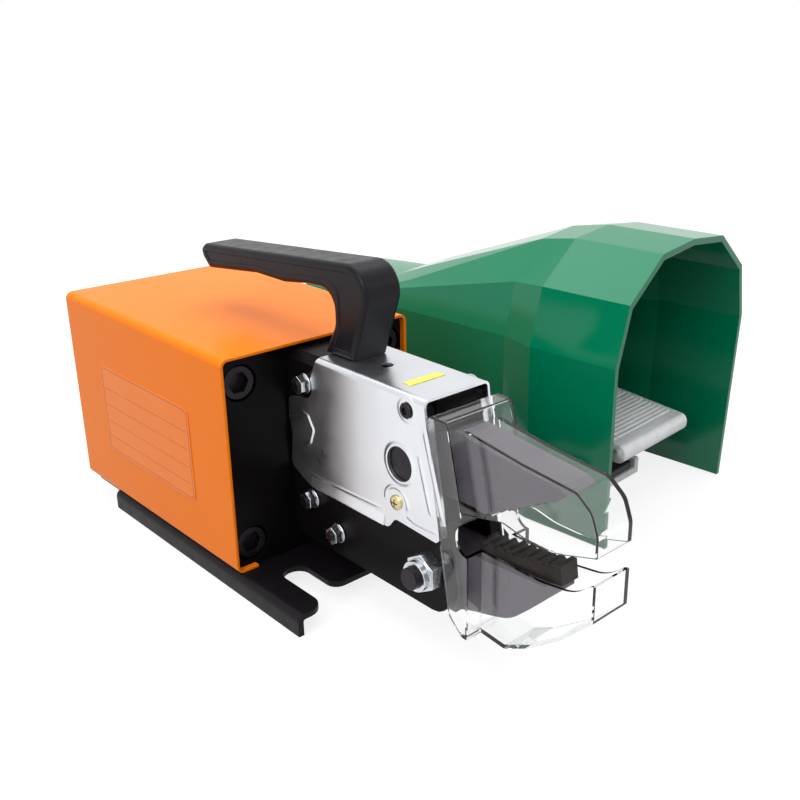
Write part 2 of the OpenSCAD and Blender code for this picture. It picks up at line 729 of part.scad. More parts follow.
// The roller's centre over the jaw's travel, and the cam face that holds it, in the head's frame
function roller_at(t) = let (a = t * jaw_turn) [
  -pivot_y + arm_run * cos(a) + arm_drop * sin(a) + t * stroke,
  pivot_z + arm_run * sin(a) - arm_drop * cos(a)
];
function cam_point(t) = let (
  d = 1 / (4 * cam_steps),
  along = unit2(roller_at(t + d) - roller_at(t - d))
) roller_at(t) + (roller_r + fit_gap) * [along.y, -along.x];
cam_rise = [for (k = [0:cam_steps]) let (p = cam_point(k / cam_steps)) [p.x, p.y, 0]];
// The hollow that the roller rests in, from right under it round to the foot of the cam face
cradle_turn = atan2(cam_rise[0].x - roller_at(0).x, roller_at(0).y - cam_rise[0].y);
cam_face = concat([for (k = [0:cradle_steps - 1]) let (a = cradle_turn * k / cradle_steps)
  [roller_at(0).x + (roller_r + fit_gap) * sin(a), roller_at(0).y - (roller_r + fit_gap) * cos(a), 0]],
    cam_rise);

module wedge() color([0.4, 0.41, 0.43]) at_head() difference() {
  side_slab(concat(
    [[-rod_reach + rod_slot - seat_fit, -tongue_half, 0], [-rod_reach - seat_fit, -tongue_half, 0],
     [-rod_reach - seat_fit, wedge_low, 0], [cam_face[0].x - wedge_nose, wedge_low, 0],
     [cam_face[0].x - wedge_nose, cam_face[0].y, 0]],
    cam_face,
    [[-rod_reach - seat_fit, cam_face[len(cam_face) - 1].y, 0], [-rod_reach - seat_fit, tongue_half, 0],
     [-rod_reach + rod_slot - seat_fit, tongue_half, 0]]
  ), -wedge_half, wedge_half);
  translate([0, -rod_reach + rod_slot / 2, 0]) rod_x(wedge_pin_d / 2 + seat_fit, -rod_d, rod_d);
}

module wedge_pin() color([0.55, 0.56, 0.58]) at_head() translate([0, -rod_reach + rod_slot / 2, 0])
  rod_x(wedge_pin_d / 2, -rod_d / 2 + over, rod_d / 2 - over);

module plate_holes() {
  translate([0, -pivot_y, pivot_z]) rod_x(pivot_d / 2 + seat_fit, -cover_half, cover_half);
  translate([0, -jaw_bolt_y, jaw_bolt_z]) rod_x(jaw_bolt_d / 2 + seat_fit, -cover_half, cover_half);
  frame_bolt_places() rod_x(frame_bolt_d / 2 + seat_fit, -cover_half, cover_half);
  cover_screw_places() rod_x(cover_screw_d / 2 + seat_fit, 0, cover_half);
}
module cover_screw_places() both() for (s = cover_screw_shares)
  translate([0, -s[0] * cover_len, cover_low + s[1] * cover_h]) children();

// A side plate on the positive side, its top corner cut back under the head cover's bend
module side_plate() difference() {
  side_slab(laid(plate_shares, plate_reach, plate_h, -plate_drop), gap_half, plate_half);
  translate([plate_half, over, plate_rise]) rotate([90, 45, 0])
    translate([-plate_chamfer * sqrt(0.5), -plate_chamfer * sqrt(0.5), 0])
      cube([plate_chamfer * sqrt(2), plate_chamfer * sqrt(2), plate_reach + 2 * over]);
  plate_holes();
}
module side_plate_left() color([0.08, 0.08, 0.09]) at_head() mirror([1, 0, 0]) side_plate();
module side_plate_right() color([0.08, 0.08, 0.09]) at_head() side_plate();

module frame_bolts() color([0.7, 0.7, 0.68]) at_head() frame_bolt_places() {
  rod_x(frame_bolt_d / 2, -plate_half - frame_washer_t - frame_nut_h - frame_bolt_end,
    plate_half + frame_washer_t);
  hex_x(frame_bolt_af, plate_half + frame_washer_t, plate_half + frame_washer_t + frame_bolt_head);
}
module frame_washers() color([0.75, 0.75, 0.74]) at_head() frame_bolt_places() both()
  ring_x(frame_bolt_d / 2 + seat_fit, frame_washer_d / 2, plate_half, plate_half + frame_washer_t);
module frame_nuts() color([0.7, 0.7, 0.68]) at_head() frame_bolt_places() difference() {
  hex_x(frame_bolt_af, -plate_half - frame_washer_t - frame_nut_h, -plate_half - frame_washer_t);
  rod_x(frame_bolt_d / 2 + seat_fit, -2 * plate_half, 0);
}

module at_jaw_bolt() at_head() translate([0, -jaw_bolt_y, jaw_bolt_z]) children();
module jaw_bolt() color([0.2, 0.19, 0.21]) at_jaw_bolt() {
  rod_x(jaw_bolt_d / 2, -plate_half - lock_nut_h - lock_nut_collar_h - jaw_bolt_end, plate_half);
  hex_x(lock_nut_af, plate_half, plate_half + jaw_bolt_head);
}
module lock_nut() color([0.78, 0.78, 0.76]) at_jaw_bolt() difference() {
  union() {
    hex_x(lock_nut_af, -plate_half - lock_nut_h, -plate_half);
    rod_x(lock_nut_collar_d / 2, -plate_half - lock_nut_h - lock_nut_collar_h, -plate_half - over);
  }
  rod_x(jaw_bolt_d / 2 + seat_fit, -2 * plate_half, 0);
}

// Block that ties the two side plates together over the upper jaw
module head_spacer() color([0.06, 0.06, 0.07]) at_head() difference() {
  box([-gap_half, -spacer_front, spacer_low], [gap_half, -spacer_rear, plate_rise]);
  cover_screw_places() rod_x(cover_screw_d / 2 + seat_fit, 0, cover_half);
}

// A point of the dies' frame in the pivot's frame, when the jaw is closed
module die_bar(start, l, top, h, half) box([-half, -start - l, -top - h], [half, -start, -top]);
module die_screw_holes(l, z, d, half) for (s = die_screw_shares)
  translate([0, -die_start - tang_start - s * l, -z]) rod_x(d / 2, -half, half);
lower_screw_z = die_floor + tang_h / 2 + seat_fit;
upper_screw_z = upper_face - upper_die_h / 2 - upper_cheek / 2;

module nest_cuts(count, face) for (k = [0:count - 1])
  translate([0, -die_start - nest_wall - nest_r - k * nest_pitch, -face])
    rod_x(nest_r, -die_w, die_w);

module lower_jaw() color([0.3, 0.31, 0.33]) at_pivot() difference() {
  union() {
    side_slab([
      [pivot_y - lower_rear, -pivot_z - lower_drop, 0], [pivot_y - lower_rear, -pivot_z - lower_top, 0],
      [-nose_start, -pivot_z - lower_top, 0], [-nose_start, -pivot_z - lower_drop, 0]
    ], -jaw_half, jaw_half);
    side_slab(concat(
      [[0, -pivot_z - lower_drop, 0]], laid(lower_shares, jaw_reach, lower_h),
        [[0, -pivot_z - lower_top - over, 0]]
    ), -nose_half, nose_half);
  }
  along_dies() {
    die_bar(die_start - fit_gap, lower_die_l + 2 * die_h, 0, die_floor + seat_fit, die_w / 2 + seat_fit);
    die_bar(die_start + tang_start - fit_gap, tang_l + 2 * fit_gap, die_floor - over,
      tang_h + over + fit_gap, die_w / 2 + seat_fit);
    die_screw_holes(tang_l, lower_screw_z, die_screw_d + 2 * seat_fit, jaw_half);
  }
  translate([0, pivot_y - jaw_bolt_y, jaw_bolt_z - pivot_z])
    rod_x(jaw_bolt_d / 2 + seat_fit, -cover_half, cover_half);
  translate([0, pivot_y, -pivot_z]) frame_bolt_places()
    rod_x(frame_bolt_d / 2 + seat_fit, -cover_half, cover_half);
}

module lower_die() color([0.1, 0.1, 0.11]) at_pivot() along_dies() difference() {
  union() {
    die_bar(die_start, lower_die_l, die_low, die_h, die_w / 2);
    die_bar(die_start + tang_start, tang_l, die_floor - over, tang_h + over, die_w / 2);
  }
  nest_cuts(nests, die_low);
  die_screw_holes(tang_l, lower_screw_z, die_screw_d + 2 * seat_fit, jaw_half);
}
module lower_die_screws() color([0.5, 0.5, 0.5]) at_pivot() along_dies()
  die_screw_holes(tang_l, lower_screw_z, die_screw_d, nose_half);

// Bronze strip that the wedge slides on
module wear_strip() color([0.7, 0.5, 0.22]) at_head()
  box([-strip_half, -strip_front, strip_top - strip_t], [strip_half, -lower_rear, strip_top]);

module pivot_pin() color([0.2, 0.2, 0.22]) at_pivot() rod_x(pivot_d / 2, -plate_half, plate_half);

upper_rows = let (slope = tan(jaw_turn + die_angle)) [for (s = upper_shares)
  [-s[0] * jaw_reach, s[1] * jaw_depth + s[0] * jaw_reach * slope, s[2] * jaw_depth]];
module upper_jaw() color([0.32, 0.33, 0.36]) at_pivot() difference() {
  union() {
    rod_x(hub_r, -jaw_half, jaw_half);
    side_slab(upper_rows, -nose_half, nose_half);
    side_pair(laid(ear_shares, arm_run, arm_run), ear_in, jaw_half);
    side_slab(laid(seat_shares, arm_run, arm_run), -jaw_half, jaw_half);
  }
  rod_x(pivot_d / 2 + run_fit, -cover_half, cover_half);
  translate([0, arm_run, -arm_drop]) rod_x(roller_pin_d / 2 + seat_fit, -cover_half, cover_half);
  opened() along_dies() {
    die_bar(die_start - fit_gap, upper_die_l + 2 * fit_gap, upper_back - seat_fit, upper_die_h + die_h,
      die_w / 2 + seat_fit);
    die_screw_holes(upper_die_l, upper_screw_z, upper_screw_d + 2 * seat_fit, jaw_half);
  }
}

module upper_die() color([0.12, 0.12, 0.13]) at_pivot() opened() along_dies() difference() {
  die_bar(die_start, upper_die_l, upper_back, upper_die_h, die_w / 2);
  nest_cuts(nests - 1, upper_face);
  die_screw_holes(upper_die_l, upper_screw_z, upper_screw_d + 2 * seat_fit, jaw_half);
}
module upper_die_screws() color([0.5, 0.5, 0.5]) at_pivot() opened() along_dies()
  die_screw_holes(upper_die_l, upper_screw_z, upper_screw_d, nose_half);

module at_roller() at_pivot() translate([0, arm_run, -arm_drop]) children();
module roller() color([0.6, 0.61, 0.63]) at_roller()
  ring_x(roller_pin_d / 2 + run_fit, roller_r, -roller_half, roller_half);
module roller_pin() color([0.5, 0.51, 0.53]) at_roller() rod_x(roller_pin_d / 2, -jaw_half, jaw_half);

module jaw_spring() color([0.6, 0.6, 0.62]) at_head() translate([0, -pivot_y + jaw_spring_y, 0])
  coil(jaw_spring_r, jaw_spring_wire, jaw_spring_curls, pivot_z + seat_shares[2][1] * arm_run + fit_gap,
    spacer_low - fit_gap);

// Chromed sheet cover over the head, its front edges turned in
module head_cover() color([0.86, 0.87, 0.89]) at_head() difference() {
  union() {
    intersection() {
      long_bar([
        [-cover_half, cover_low - over, 0], [-cover_half, cover_top, cover_bend],
          [cover_half, cover_top, cover_bend],
        [cover_half, cover_low - over, 0], [cover_in, cover_low - over, 0],
        [cover_in, cover_top - cover_t, cover_bend - cover_t],
          [-cover_in, cover_top - cover_t, cover_bend - cover_t],
        [-cover_in, cover_low - over, 0]
      ], -cover_len - over, over);
      side_slab(laid(cover_shares, cover_len, cover_h, cover_low), -cover_half - over, cover_half + over);
    }
    side_pair(front_lip, cover_half - cover_turn, cover_half - cover_t / 2);
  }
  translate([0, -pivot_y, pivot_z]) rod_x(pivot_window_d / 2, -cover_half - over, cover_half + over);
  frame_bolt_places() rod_x(bolt_relief_d / 2, -cover_half - over, cover_half + over);
  cover_screw_places() rod_x(cover_screw_d / 2 + seat_fit, 0, cover_half + over);
  translate([top_hole_x, -top_hole_y, 0]) rod_z(top_hole_d / 2, plate_rise, cover_top + over);
  translate([0, -handle_bolt_y, 0]) rod_z(handle_bolt_d / 2 + fit_gap, plate_rise, cover_top + over);
}
function cover_spot(i) = [-cover_shares[i][0] * cover_len, cover_low + cover_shares[i][1] * cover_h];
front_lip = let (a = cover_spot(10), b = cover_spot(11)) [
  [a.x + cover_t, a.y, 0], [a.x, a.y, 0], [b.x, b.y - cover_bend, 0], [b.x + cover_t, b.y - cover_bend, 0]
];

module cover_screws() color([0.78, 0.74, 0.6]) at_head() cover_screw_places() {
  rod_x(cover_screw_head_d / 2, cover_half, cover_half + cover_screw_head_h);
  rod_x(cover_screw_d / 2, cover_half - cover_screw_l, cover_half + over);
}

// Plain yellow strip on the head cover
module marker_strip() color([0.93, 0.86, 0.25]) at_head()
  translate([marker_x, -marker_y, cover_top])
  box([-marker_l / 2, -marker_w / 2, 0], [marker_l / 2, marker_w / 2, marker_t]);

function handle_rows(d) = inset([for (s = handle_shares)
  [-handle_ahead + s[0] * handle_l, cover_top + s[1] * handle_h, s[2] * handle_r]], d);
module handle() color([0.12, 0.12, 0.13]) at_head() difference() {
  union() {
    side_slab(handle_rows(0), -handle_w / 2 + handle_chamfer, handle_w / 2 - handle_chamfer);
    side_slab(handle_rows(handle_chamfer / 3), -handle_w / 2 + handle_chamfer / 3,
      handle_w / 2 - handle_chamfer / 3);
    side_slab(handle_rows(handle_chamfer), -handle_w / 2, handle_w / 2);
  }
  translate([0, -handle_bolt_y, 0])
    rod_z(handle_bolt_d / 2 + seat_fit, cover_top - over, cover_top + handle_bolt_in);
}
// The handle's bolt comes up from below, through the front head's upper lug
module handle_bolt() color([0.15, 0.15, 0.16]) at_head() translate([0, -handle_bolt_y, 0]) difference() {
  union() {
    rod_z(handle_bolt_d / 2, lug_top_low - over, cover_top + handle_bolt_in - fit_gap);
    rod_z(handle_bolt_head_d / 2, lug_top_low - handle_bolt_head_h, lug_top_low);
  }
  translate([0, 0, lug_top_low - handle_bolt_head_h - over])
    cylinder(d = handle_bolt_socket / cos(30), h = handle_bolt_head_h / 2 + over, $fn = 6);
}

// Clear moulded guard: a collar over the side plates and a narrow nose with an open mouth
guard_rows = concat(
  laid(guard_shares, guard_len, guard_h, guard_low), laid(guard_rear_shares, cover_len, guard_h, guard_low)
);
module guard() color([0.75, 0.9, 0.88, 0.4]) at_head() difference() {
  union() {
    side_slab(guard_rows, -guard_half, guard_half);
    side_slab(collar_rows, -collar_half, collar_half);
  }
  side_slab(inset(guard_rows, guard_t), -guard_half + guard_t, guard_half - guard_t);
  side_slab(collar_room, -collar_half + guard_t, collar_half - guard_t);
  side_slab(laid(mouth_shares, guard_len, guard_h, guard_low), -collar_half - over, collar_half + over);
}
collar_rows = laid(collar_shares, cover_len, guard_h, guard_low);
collar_room = let (i = inset(collar_rows, guard_t), back = guard_t + over) [
  [collar_rows[0].x + back, i[0].y, 0], [collar_rows[1].x + back, collar_rows[1].y, 0],
  [collar_rows[2].x + back, collar_rows[2].y, 0], [collar_rows[3].x + back, collar_rows[3].y, 0],
  [i[4].x + back, i[4].y, 0], i[5], i[6], i[7]
];

// Foot valve hood: sections from the mouth to the rear
sections = [front_shares, front_shares, waist_shares, rear_shares, low_shares, end_shares];
function half_rows(shares) = [for (s = shares) [s[0] * hood_half, s[1] * hood_h, 0]];
function whole_rows(shares) = let (h = half_rows(shares), n = len(h))
  concat(h, [for (i = [n - 2:-1:0]) [-h[i][0], h[i][1], 0]]);
function shell_rows(shares, d) = d == 0 ? whole_rows(shares) :
  let (r = inset(whole_rows(shares), d), n = len(r))
  [for (i = [0:n - 1]) i == 0 || i == n - 1 ? [r[i][0], -over, 0] : r[i]];
function ring(i, d, v) = [for (p = shell_rows(sections[i], d)) [p[0],
  v - hood_lean * p[1] * (1 - section_shares[i]), p[1] + hood_lift * (d == 0 ? 1 : 0)]];
module hood_body(d, ahead, short) {
  last = len(sections) - 1;
  rings = [for (i = [0:last])
    ring(i, d, section_shares[i] * hood_l + (i == 0 ? -ahead : i == last ? -short : 0))];
  m = len(rings[0]);
  points = [for (r = rings) each r];
  sides = [for (k = [0:last - 1], j = [0:m - 1]) let (
      a = k * m + j, b = k * m + (j + 1) % m, c = a + m, e = b + m
    ) each [[a, b, e], [a, e, c]]];
  front = [for (j = [1:m - 2]) [0, j + 1, j]];
  rear = [for (j = [1:m - 2]) [last * m, last * m + j, last * m + j + 1]];
  polyhedron(points = points, faces = concat(sides, front, rear));
}
module boss_places() both() for (s = boss_shares) translate([s[1] * hood_half, s[0] * hood_l, 0]) children();
module pedal_hood() color([0.02, 0.42, 0.24]) at_pedal() difference() {
  union() {
    difference() {
      hood_body(0, 0, 0);
      hood_body(hood_t, over, hood_t);
      box([-hood_exit_w / 2, hood_l - 2 * hood_t, -over], [hood_exit_w / 2, hood_l + over, hood_exit_h]);
    }
    boss_places() rod_z(boss_r, base_top, boss_h);
    boss_places() box([0, -boss_web_t / 2, base_top], [boss_web_l, boss_web_t / 2, boss_h]);
  }
  boss_places() rod_z(hood_screw_d / 2 + seat_fit, 0, hood_screw_l + over);
}
module hood_screws() color([0.6, 0.6, 0.6]) at_pedal() boss_places() {
  rod_z(hood_screw_d / 2, pedal_base_lift + over / 2, hood_screw_l);
  rod_z(hood_screw_head_d / 2, pedal_base_lift, pedal_base_lift + over);
}

base_outline = [
  [-base_half, base_start, 0], [base_half, base_start, 0], [base_half, base_mid, 0],
  [base_mid_half, base_mid, 0], [base_end_half, base_end, 0], [-base_end_half, base_end, 0],
  [-base_mid_half, base_mid, 0], [-base_half, base_mid, 0]
];
module foot_places() both() for (p = [front_foot, rear_foot]) translate(p) children();
module pedal_base() color([0.66, 0.67, 0.69]) at_pedal() difference() {
  union() {
    translate([0, 0, pedal_base_lift]) linear_extrude(height = pedal_base_t) polygon(rounded(base_outline));
    side_pair([
      [base_start, pedal_base_lift, 0], [base_start, pedal_base_lift + wall_h, over],
      [treadle_v - 2 * ear_half, pedal_base_lift + wall_h + over, over],
        [treadle_v - ear_half, ear_h, ear_half / 2],
      [treadle_v + ear_half, ear_h, ear_half / 2], [base_mid, base_top, 0], [base_mid, pedal_base_lift, 0]
    ], base_half - base_wall, base_half);
    box([-valve_half, valve_start, base_top - over], [valve_half, valve_end, valve_low]);
  }
  translate([0, treadle_v, treadle_z])
    rod_x(treadle_pin_d / 2 + seat_fit, -base_half - over, base_half + over);
  foot_places() rod_z(foot_r + seat_fit, 0, foot_t);
  boss_places() rod_z(hood_screw_d / 2 + fit_gap, 0, base_top + over);
  boss_places() rod_z(hood_screw_head_d / 2 + fit_gap, 0, pedal_base_lift + over);
  valve_screw_places() rod_z(valve_screw_d / 2 + seat_fit, 0, valve_h);
}
module rubber_feet() color([0.08, 0.08, 0.08]) at_pedal() foot_places() rod_z(foot_r, 0, foot_t - seat_fit);
module rubber_bumper() color([0.06, 0.06, 0.07]) at_pedal()
  box([-bumper_half, base_start + over, base_top],
    [bumper_half, base_start + over + bumper_l, base_top + bumper_t]);

// Ribbed treadle, rounded at its nose, with its pivot lugs, stop and valve arm
function treadle_top(v) = treadle_nose_z + (v - treadle_nose) * treadle_rise;
groove_count = floor((groove_end - groove_start) / groove_pitch);
stop_low = base_top + bumper_t + stop_gap + (treadle_v - stop_v) * sin(treadle_turn);
lug_half = base_half - base_wall - fit_gap;
arm_neck_z = spool_z + plunger_d / 2 + fit_gap;
module treadle() color([0.78, 0.79, 0.8]) at_pedal() difference() {
  union() {
    side_slab([
      [treadle_nose, treadle_top(treadle_nose) - nose_h, nose_r],
        [treadle_nose, treadle_top(treadle_nose), nose_r],
      [treadle_rear, treadle_top(treadle_rear), rib_top_r],
        [treadle_rear, treadle_top(treadle_rear) - treadle_t, rib_top_r],
      [treadle_nose + nose_h, treadle_top(treadle_nose + nose_h) - treadle_t, rib_top_r],
      [treadle_nose + nose_run, treadle_top(treadle_nose) - nose_h, rib_top_r]
    ], -treadle_w / 2, treadle_w / 2);
    side_pair([
      [treadle_v - lug_r, treadle_top(treadle_v) - treadle_t + over, 0],
        [treadle_v - lug_r, treadle_z - lug_r, lug_r / 2],
      [treadle_v + lug_r, treadle_z - lug_r, lug_r / 2],
        [treadle_v + lug_r, treadle_top(treadle_v) - treadle_t + over, 0]
    ], lug_half - lug_t, lug_half);
    side_slab([
      [treadle_v - lug_r, treadle_top(treadle_v) - treadle_t + over, 0],
        [treadle_v - lug_r, treadle_z - arm_tip_r, lug_r / 2],
      [treadle_v - arm_tip_r, arm_neck_z, 0],
        [treadle_v - arm_tip_r, spool_z - arm_tip_r, arm_tip_r - seat_fit],
      [treadle_v + arm_tip_r, spool_z - arm_tip_r, arm_tip_r - seat_fit],
        [treadle_v + arm_tip_r, arm_neck_z, 0],
      [treadle_v + lug_r, treadle_z - arm_tip_r, lug_r / 2],
        [treadle_v + lug_r, treadle_top(treadle_v) - treadle_t + over, 0]
    ], -arm_half, arm_half);
    side_slab([
      [stop_v, treadle_top(stop_v) - treadle_t + over, 0], [stop_v, stop_low, 0],
        [stop_v + stop_t, stop_low, 0],
      [stop_v + stop_t, treadle_top(stop_v) - treadle_t + over, 0]
    ], -stop_half, stop_half);
  }
  translate([0, treadle_v, treadle_z]) rod_x(treadle_pin_d / 2 + run_fit, -base_half, base_half);
  for (k = [0:groove_count]) let (v = groove_start + k * groove_pitch)
    translate([0, v, treadle_top(v)])
      box([-treadle_w / 2 + groove_margin, -groove_w / 2, -groove_depth],
      [treadle_w / 2 - groove_margin, groove_w / 2, over]);
}
module treadle_pin() color([0.55, 0.56, 0.58]) at_pedal() translate([0, treadle_v, treadle_z])
  rod_x(treadle_pin_d / 2, -base_half, base_half);
module treadle_spring() color([0.6, 0.6, 0.62]) at_pedal() translate([0, treadle_spring_v, 0])
  coil(treadle_spring_r, treadle_spring_wire, treadle_spring_curls, base_top + fit_gap,
    treadle_top(treadle_spring_v - treadle_spring_r - treadle_spring_wire) - treadle_t - fit_gap);

// Spool valve behind the treadle
module at_spool() at_pedal() translate([0, 0, spool_z]) children();
module valve_screw_places() both() translate([valve_half - valve_screw_head_d / 2 - over, 0, 0])
  for (v = [valve_start + valve_screw_inset, valve_end - valve_screw_inset]) translate([0, v, 0]) children();
module valve_body() color([0.55, 0.57, 0.6]) difference() {
  at_pedal() box([-valve_half, valve_start, valve_low], [valve_half, valve_end, valve_low + valve_h]);
  at_spool() rod_y(spool_d / 2 + run_fit, valve_start - over, valve_end + over);
  at_spool() for (s = outlet_shares) translate([0, valve_start + s * valve_l, 0]) {
    rod_x(valve_port_r, -valve_half - over, -valve_half + valve_port_l);
  }
  at_spool() for (s = supply_shares) translate([0, valve_start + s * valve_l, 0]) {
    rod_x(valve_port_r, valve_half - valve_port_l, valve_half + over);
  }
  at_pedal() valve_screw_places() rod_z(valve_screw_d / 2 + seat_fit, 0, 2 * valve_h);
  at_spool() cap_screw_places() rod_y(cap_screw_d / 2 + seat_fit, valve_start - over,
    valve_start + cap_screw_l - cap_t + fit_gap);
  at_spool() cap_screw_places() rod_y(cap_screw_d / 2 + seat_fit,
    valve_end - cap_screw_l + cap_t - fit_gap, valve_end + over);
}
module cap_screw_places() both() for (s = [-1, 1])
  translate([valve_half - cap_screw_head_d / 2 - over, 0,
    s * (valve_h / 2 - cap_screw_head_d / 2 - over) + valve_low + valve_h / 2 - spool_z]) children();
module cap_shape(v0, v1) translate([0, 0, -spool_z])
  box([-valve_half, v0, valve_low], [valve_half, v1, valve_low + valve_h]);
module valve_caps() color([0.12, 0.12, 0.13]) at_spool() {
  difference() {
    cap_shape(valve_start - cap_t, valve_start);
    rod_y(plunger_d / 2 + run_fit, valve_start - cap_t - over, valve_start + over);
    cap_screw_places() rod_y(cap_screw_d / 2 + seat_fit, valve_start - cap_t - over, valve_start + over);
  }
  difference() {
    cap_shape(valve_end, valve_end + cap_t);
    cap_screw_places() rod_y(cap_screw_d / 2 + seat_fit, valve_end - over, valve_end + cap_t + over);
  }
}
module cap_screws() color([0.3, 0.3, 0.31]) at_spool() cap_screw_places() {
  rod_y(cap_screw_head_d / 2, valve_start - cap_t - cap_screw_head_h, valve_start - cap_t);
  rod_y(cap_screw_d / 2, valve_start - cap_t - over, valve_start + cap_screw_l - cap_t);
  rod_y(cap_screw_head_d / 2, valve_end + cap_t, valve_end + cap_t + cap_screw_head_h);
  rod_y(cap_screw_d / 2, valve_end - cap_screw_l + cap_t, valve_end + cap_t + over);
}
module valve_screws() color([0.3, 0.3, 0.31]) at_pedal() valve_screw_places() {
  rod_z(valve_screw_d / 2, pedal_base_lift + over, valve_low + valve_h + over);
  rod_z(valve_screw_head_d / 2, valve_low + valve_h, valve_low + valve_h + valve_screw_head_h);
}
spool_l = spool_rear - spool_front;
module valve_spool() color([0.7, 0.71, 0.73]) at_spool() difference() {
  union() {
    rod_y(spool_d / 2 - run_fit, spool_front, spool_rear);
    rod_y(plunger_d / 2, plunger_front, spool_front + over);
  }
  for (s = outlet_shares) ring_y(spool_neck_d / 2, spool_d, valve_start + s * valve_l - valve_port_r,
    valve_start + s * valve_l + valve_port_r);
  spool_seal_places() ring_y(spool_d / 2 - spool_seal_depth, spool_d, 0, spool_seal_w);
}
module spool_seal_places() for (v = [spool_front + spool_seal_w,
  spool_front + spool_l / 2 - spool_seal_w / 2, spool_rear - 2 * spool_seal_w])
  translate([0, v, 0]) children();
module spool_seals() color([0.08, 0.08, 0.08]) at_spool() spool_seal_places()
  ring_y(spool_d / 2 - spool_seal_depth + seat_fit, spool_d / 2 - seat_fit, seat_fit,
    spool_seal_w - seat_fit);
module spool_spring() color([0.6, 0.6, 0.62]) at_spool() rotate([-90, 0, 0])
  coil(spool_spring_r, spool_spring_wire, spool_spring_curls, spool_rear + fit_gap, valve_end - fit_gap);
module silencers() color([0.72, 0.55, 0.25]) at_spool() for (s = [supply_shares[0], supply_shares[2]])
  translate([0, valve_start + s * valve_l, 0]) {
    rod_x(valve_port_r - seat_fit, valve_half - valve_port_l + fit_gap, valve_half + over);
    hex_x(silencer_hex_af, valve_half, valve_half + silencer_hex_h);
    rod_x(silencer_d / 2, valve_half + silencer_hex_h, valve_half + silencer_hex_h + silencer_l);
  }

base_plate();
base_screws();
body_cover();
rating_plate();
front_head();
cylinder_barrel();
rear_head();
tie_bolts();
barrel_seals();
rod_bush();
rod_seal();
return_spring();
piston();
piston_seal();
piston_nut();
piston_rod();
wedge();
wedge_pin();
side_plate_left();
side_plate_right();
frame_bolts();
frame_washers();
frame_nuts();
jaw_bolt();
lock_nut();
head_spacer();
lower_jaw();
lower_die();
lower_die_screws();
wear_strip();
pivot_pin();
upper_jaw();
upper_die();
upper_die_screws();
roller();
roller_pin();
jaw_spring();
head_cover();
cover_screws();
marker_strip();
handle();
handle_bolt();
guard();
pedal_hood();
hood_screws();
pedal_base();
rubber_feet();
rubber_bumper();
treadle();
treadle_pin();
treadle_spring();
valve_body();
valve_caps();
cap_screws();
valve_screws();
valve_spool();
spool_seals();
spool_spring();
silencers();
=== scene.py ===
"""Looks of a pneumatic terminal crimping machine and its foot valve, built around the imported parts.

Sizes are millimetres in the machine's own frame: x across, y to the rear and z up, with the origin in
the middle of the sheet cover's underside. The jaws point to -y.
"""

from __future__ import annotations

import json
import logging
import math
from dataclasses import dataclass
from enum import Enum
from typing import Sequence

import bmesh
import bpy
import numpy as np
from mathutils import Matrix, Vector

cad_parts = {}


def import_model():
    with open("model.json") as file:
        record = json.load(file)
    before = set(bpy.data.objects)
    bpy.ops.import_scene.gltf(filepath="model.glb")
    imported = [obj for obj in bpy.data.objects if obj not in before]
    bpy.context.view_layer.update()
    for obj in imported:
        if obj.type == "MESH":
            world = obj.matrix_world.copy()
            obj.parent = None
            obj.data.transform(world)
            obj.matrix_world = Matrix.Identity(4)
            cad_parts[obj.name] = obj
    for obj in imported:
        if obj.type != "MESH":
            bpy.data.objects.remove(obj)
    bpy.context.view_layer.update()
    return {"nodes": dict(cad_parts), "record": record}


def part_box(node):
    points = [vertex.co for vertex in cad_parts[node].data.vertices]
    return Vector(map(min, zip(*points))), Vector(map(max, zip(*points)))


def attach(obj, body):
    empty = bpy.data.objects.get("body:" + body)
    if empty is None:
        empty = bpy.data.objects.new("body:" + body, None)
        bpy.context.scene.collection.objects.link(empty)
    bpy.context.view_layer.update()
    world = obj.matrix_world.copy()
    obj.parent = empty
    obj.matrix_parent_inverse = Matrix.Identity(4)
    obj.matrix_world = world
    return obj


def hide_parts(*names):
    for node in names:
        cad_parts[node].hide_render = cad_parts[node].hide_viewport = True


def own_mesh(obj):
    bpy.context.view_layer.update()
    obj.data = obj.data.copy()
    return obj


LOG = logging.getLogger("crimping_machine")
MM = 0.001
# Lengths shorter than this are taken as none, in mm
NONE_MM = 1e-12
# Outline points nearer than this to their neighbour are dropped, in mm
SAME_POINT_MM = 1e-4
# Vertices nearer than this are merged, in metres: in new pieces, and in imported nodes
MERGE_NEW = 1e-6
MERGE_PACKED = 2e-6
# Faces that meet at less than this many degrees count as one flat face
FLAT_DEGREES = 0.6
# How strongly large faces set the shading of a rounded edge, in percent
SHADING_WEIGHT = 80
Rows = Sequence[tuple[float, ...]]


class Side(Enum):
    """The two sides of the machine, seen from its rear."""

    LEFT = -1
    RIGHT = 1


class Axis(Enum):
    """An axis of the frame, by its place in a point."""

    X = 0
    Y = 1
    Z = 2


class End(Enum):
    """The two ends of a box along an axis."""

    LOW = 0
    HIGH = 1


# Outlines and surfaces


def unit(v: np.ndarray) -> np.ndarray:
    """Vectors scaled to length one; a zero vector stays zero."""
    length = np.linalg.norm(v, axis=-1, keepdims=True)
    return v / np.where(length > NONE_MM, length, 1.0)


def smooth_step(t: np.ndarray) -> np.ndarray:
    """0 below 0, 1 above 1, and the smooth S of 3t^2 - 2t^3 between."""
    t = np.clip(t, 0, 1)
    return t * t * (3 - 2 * t)


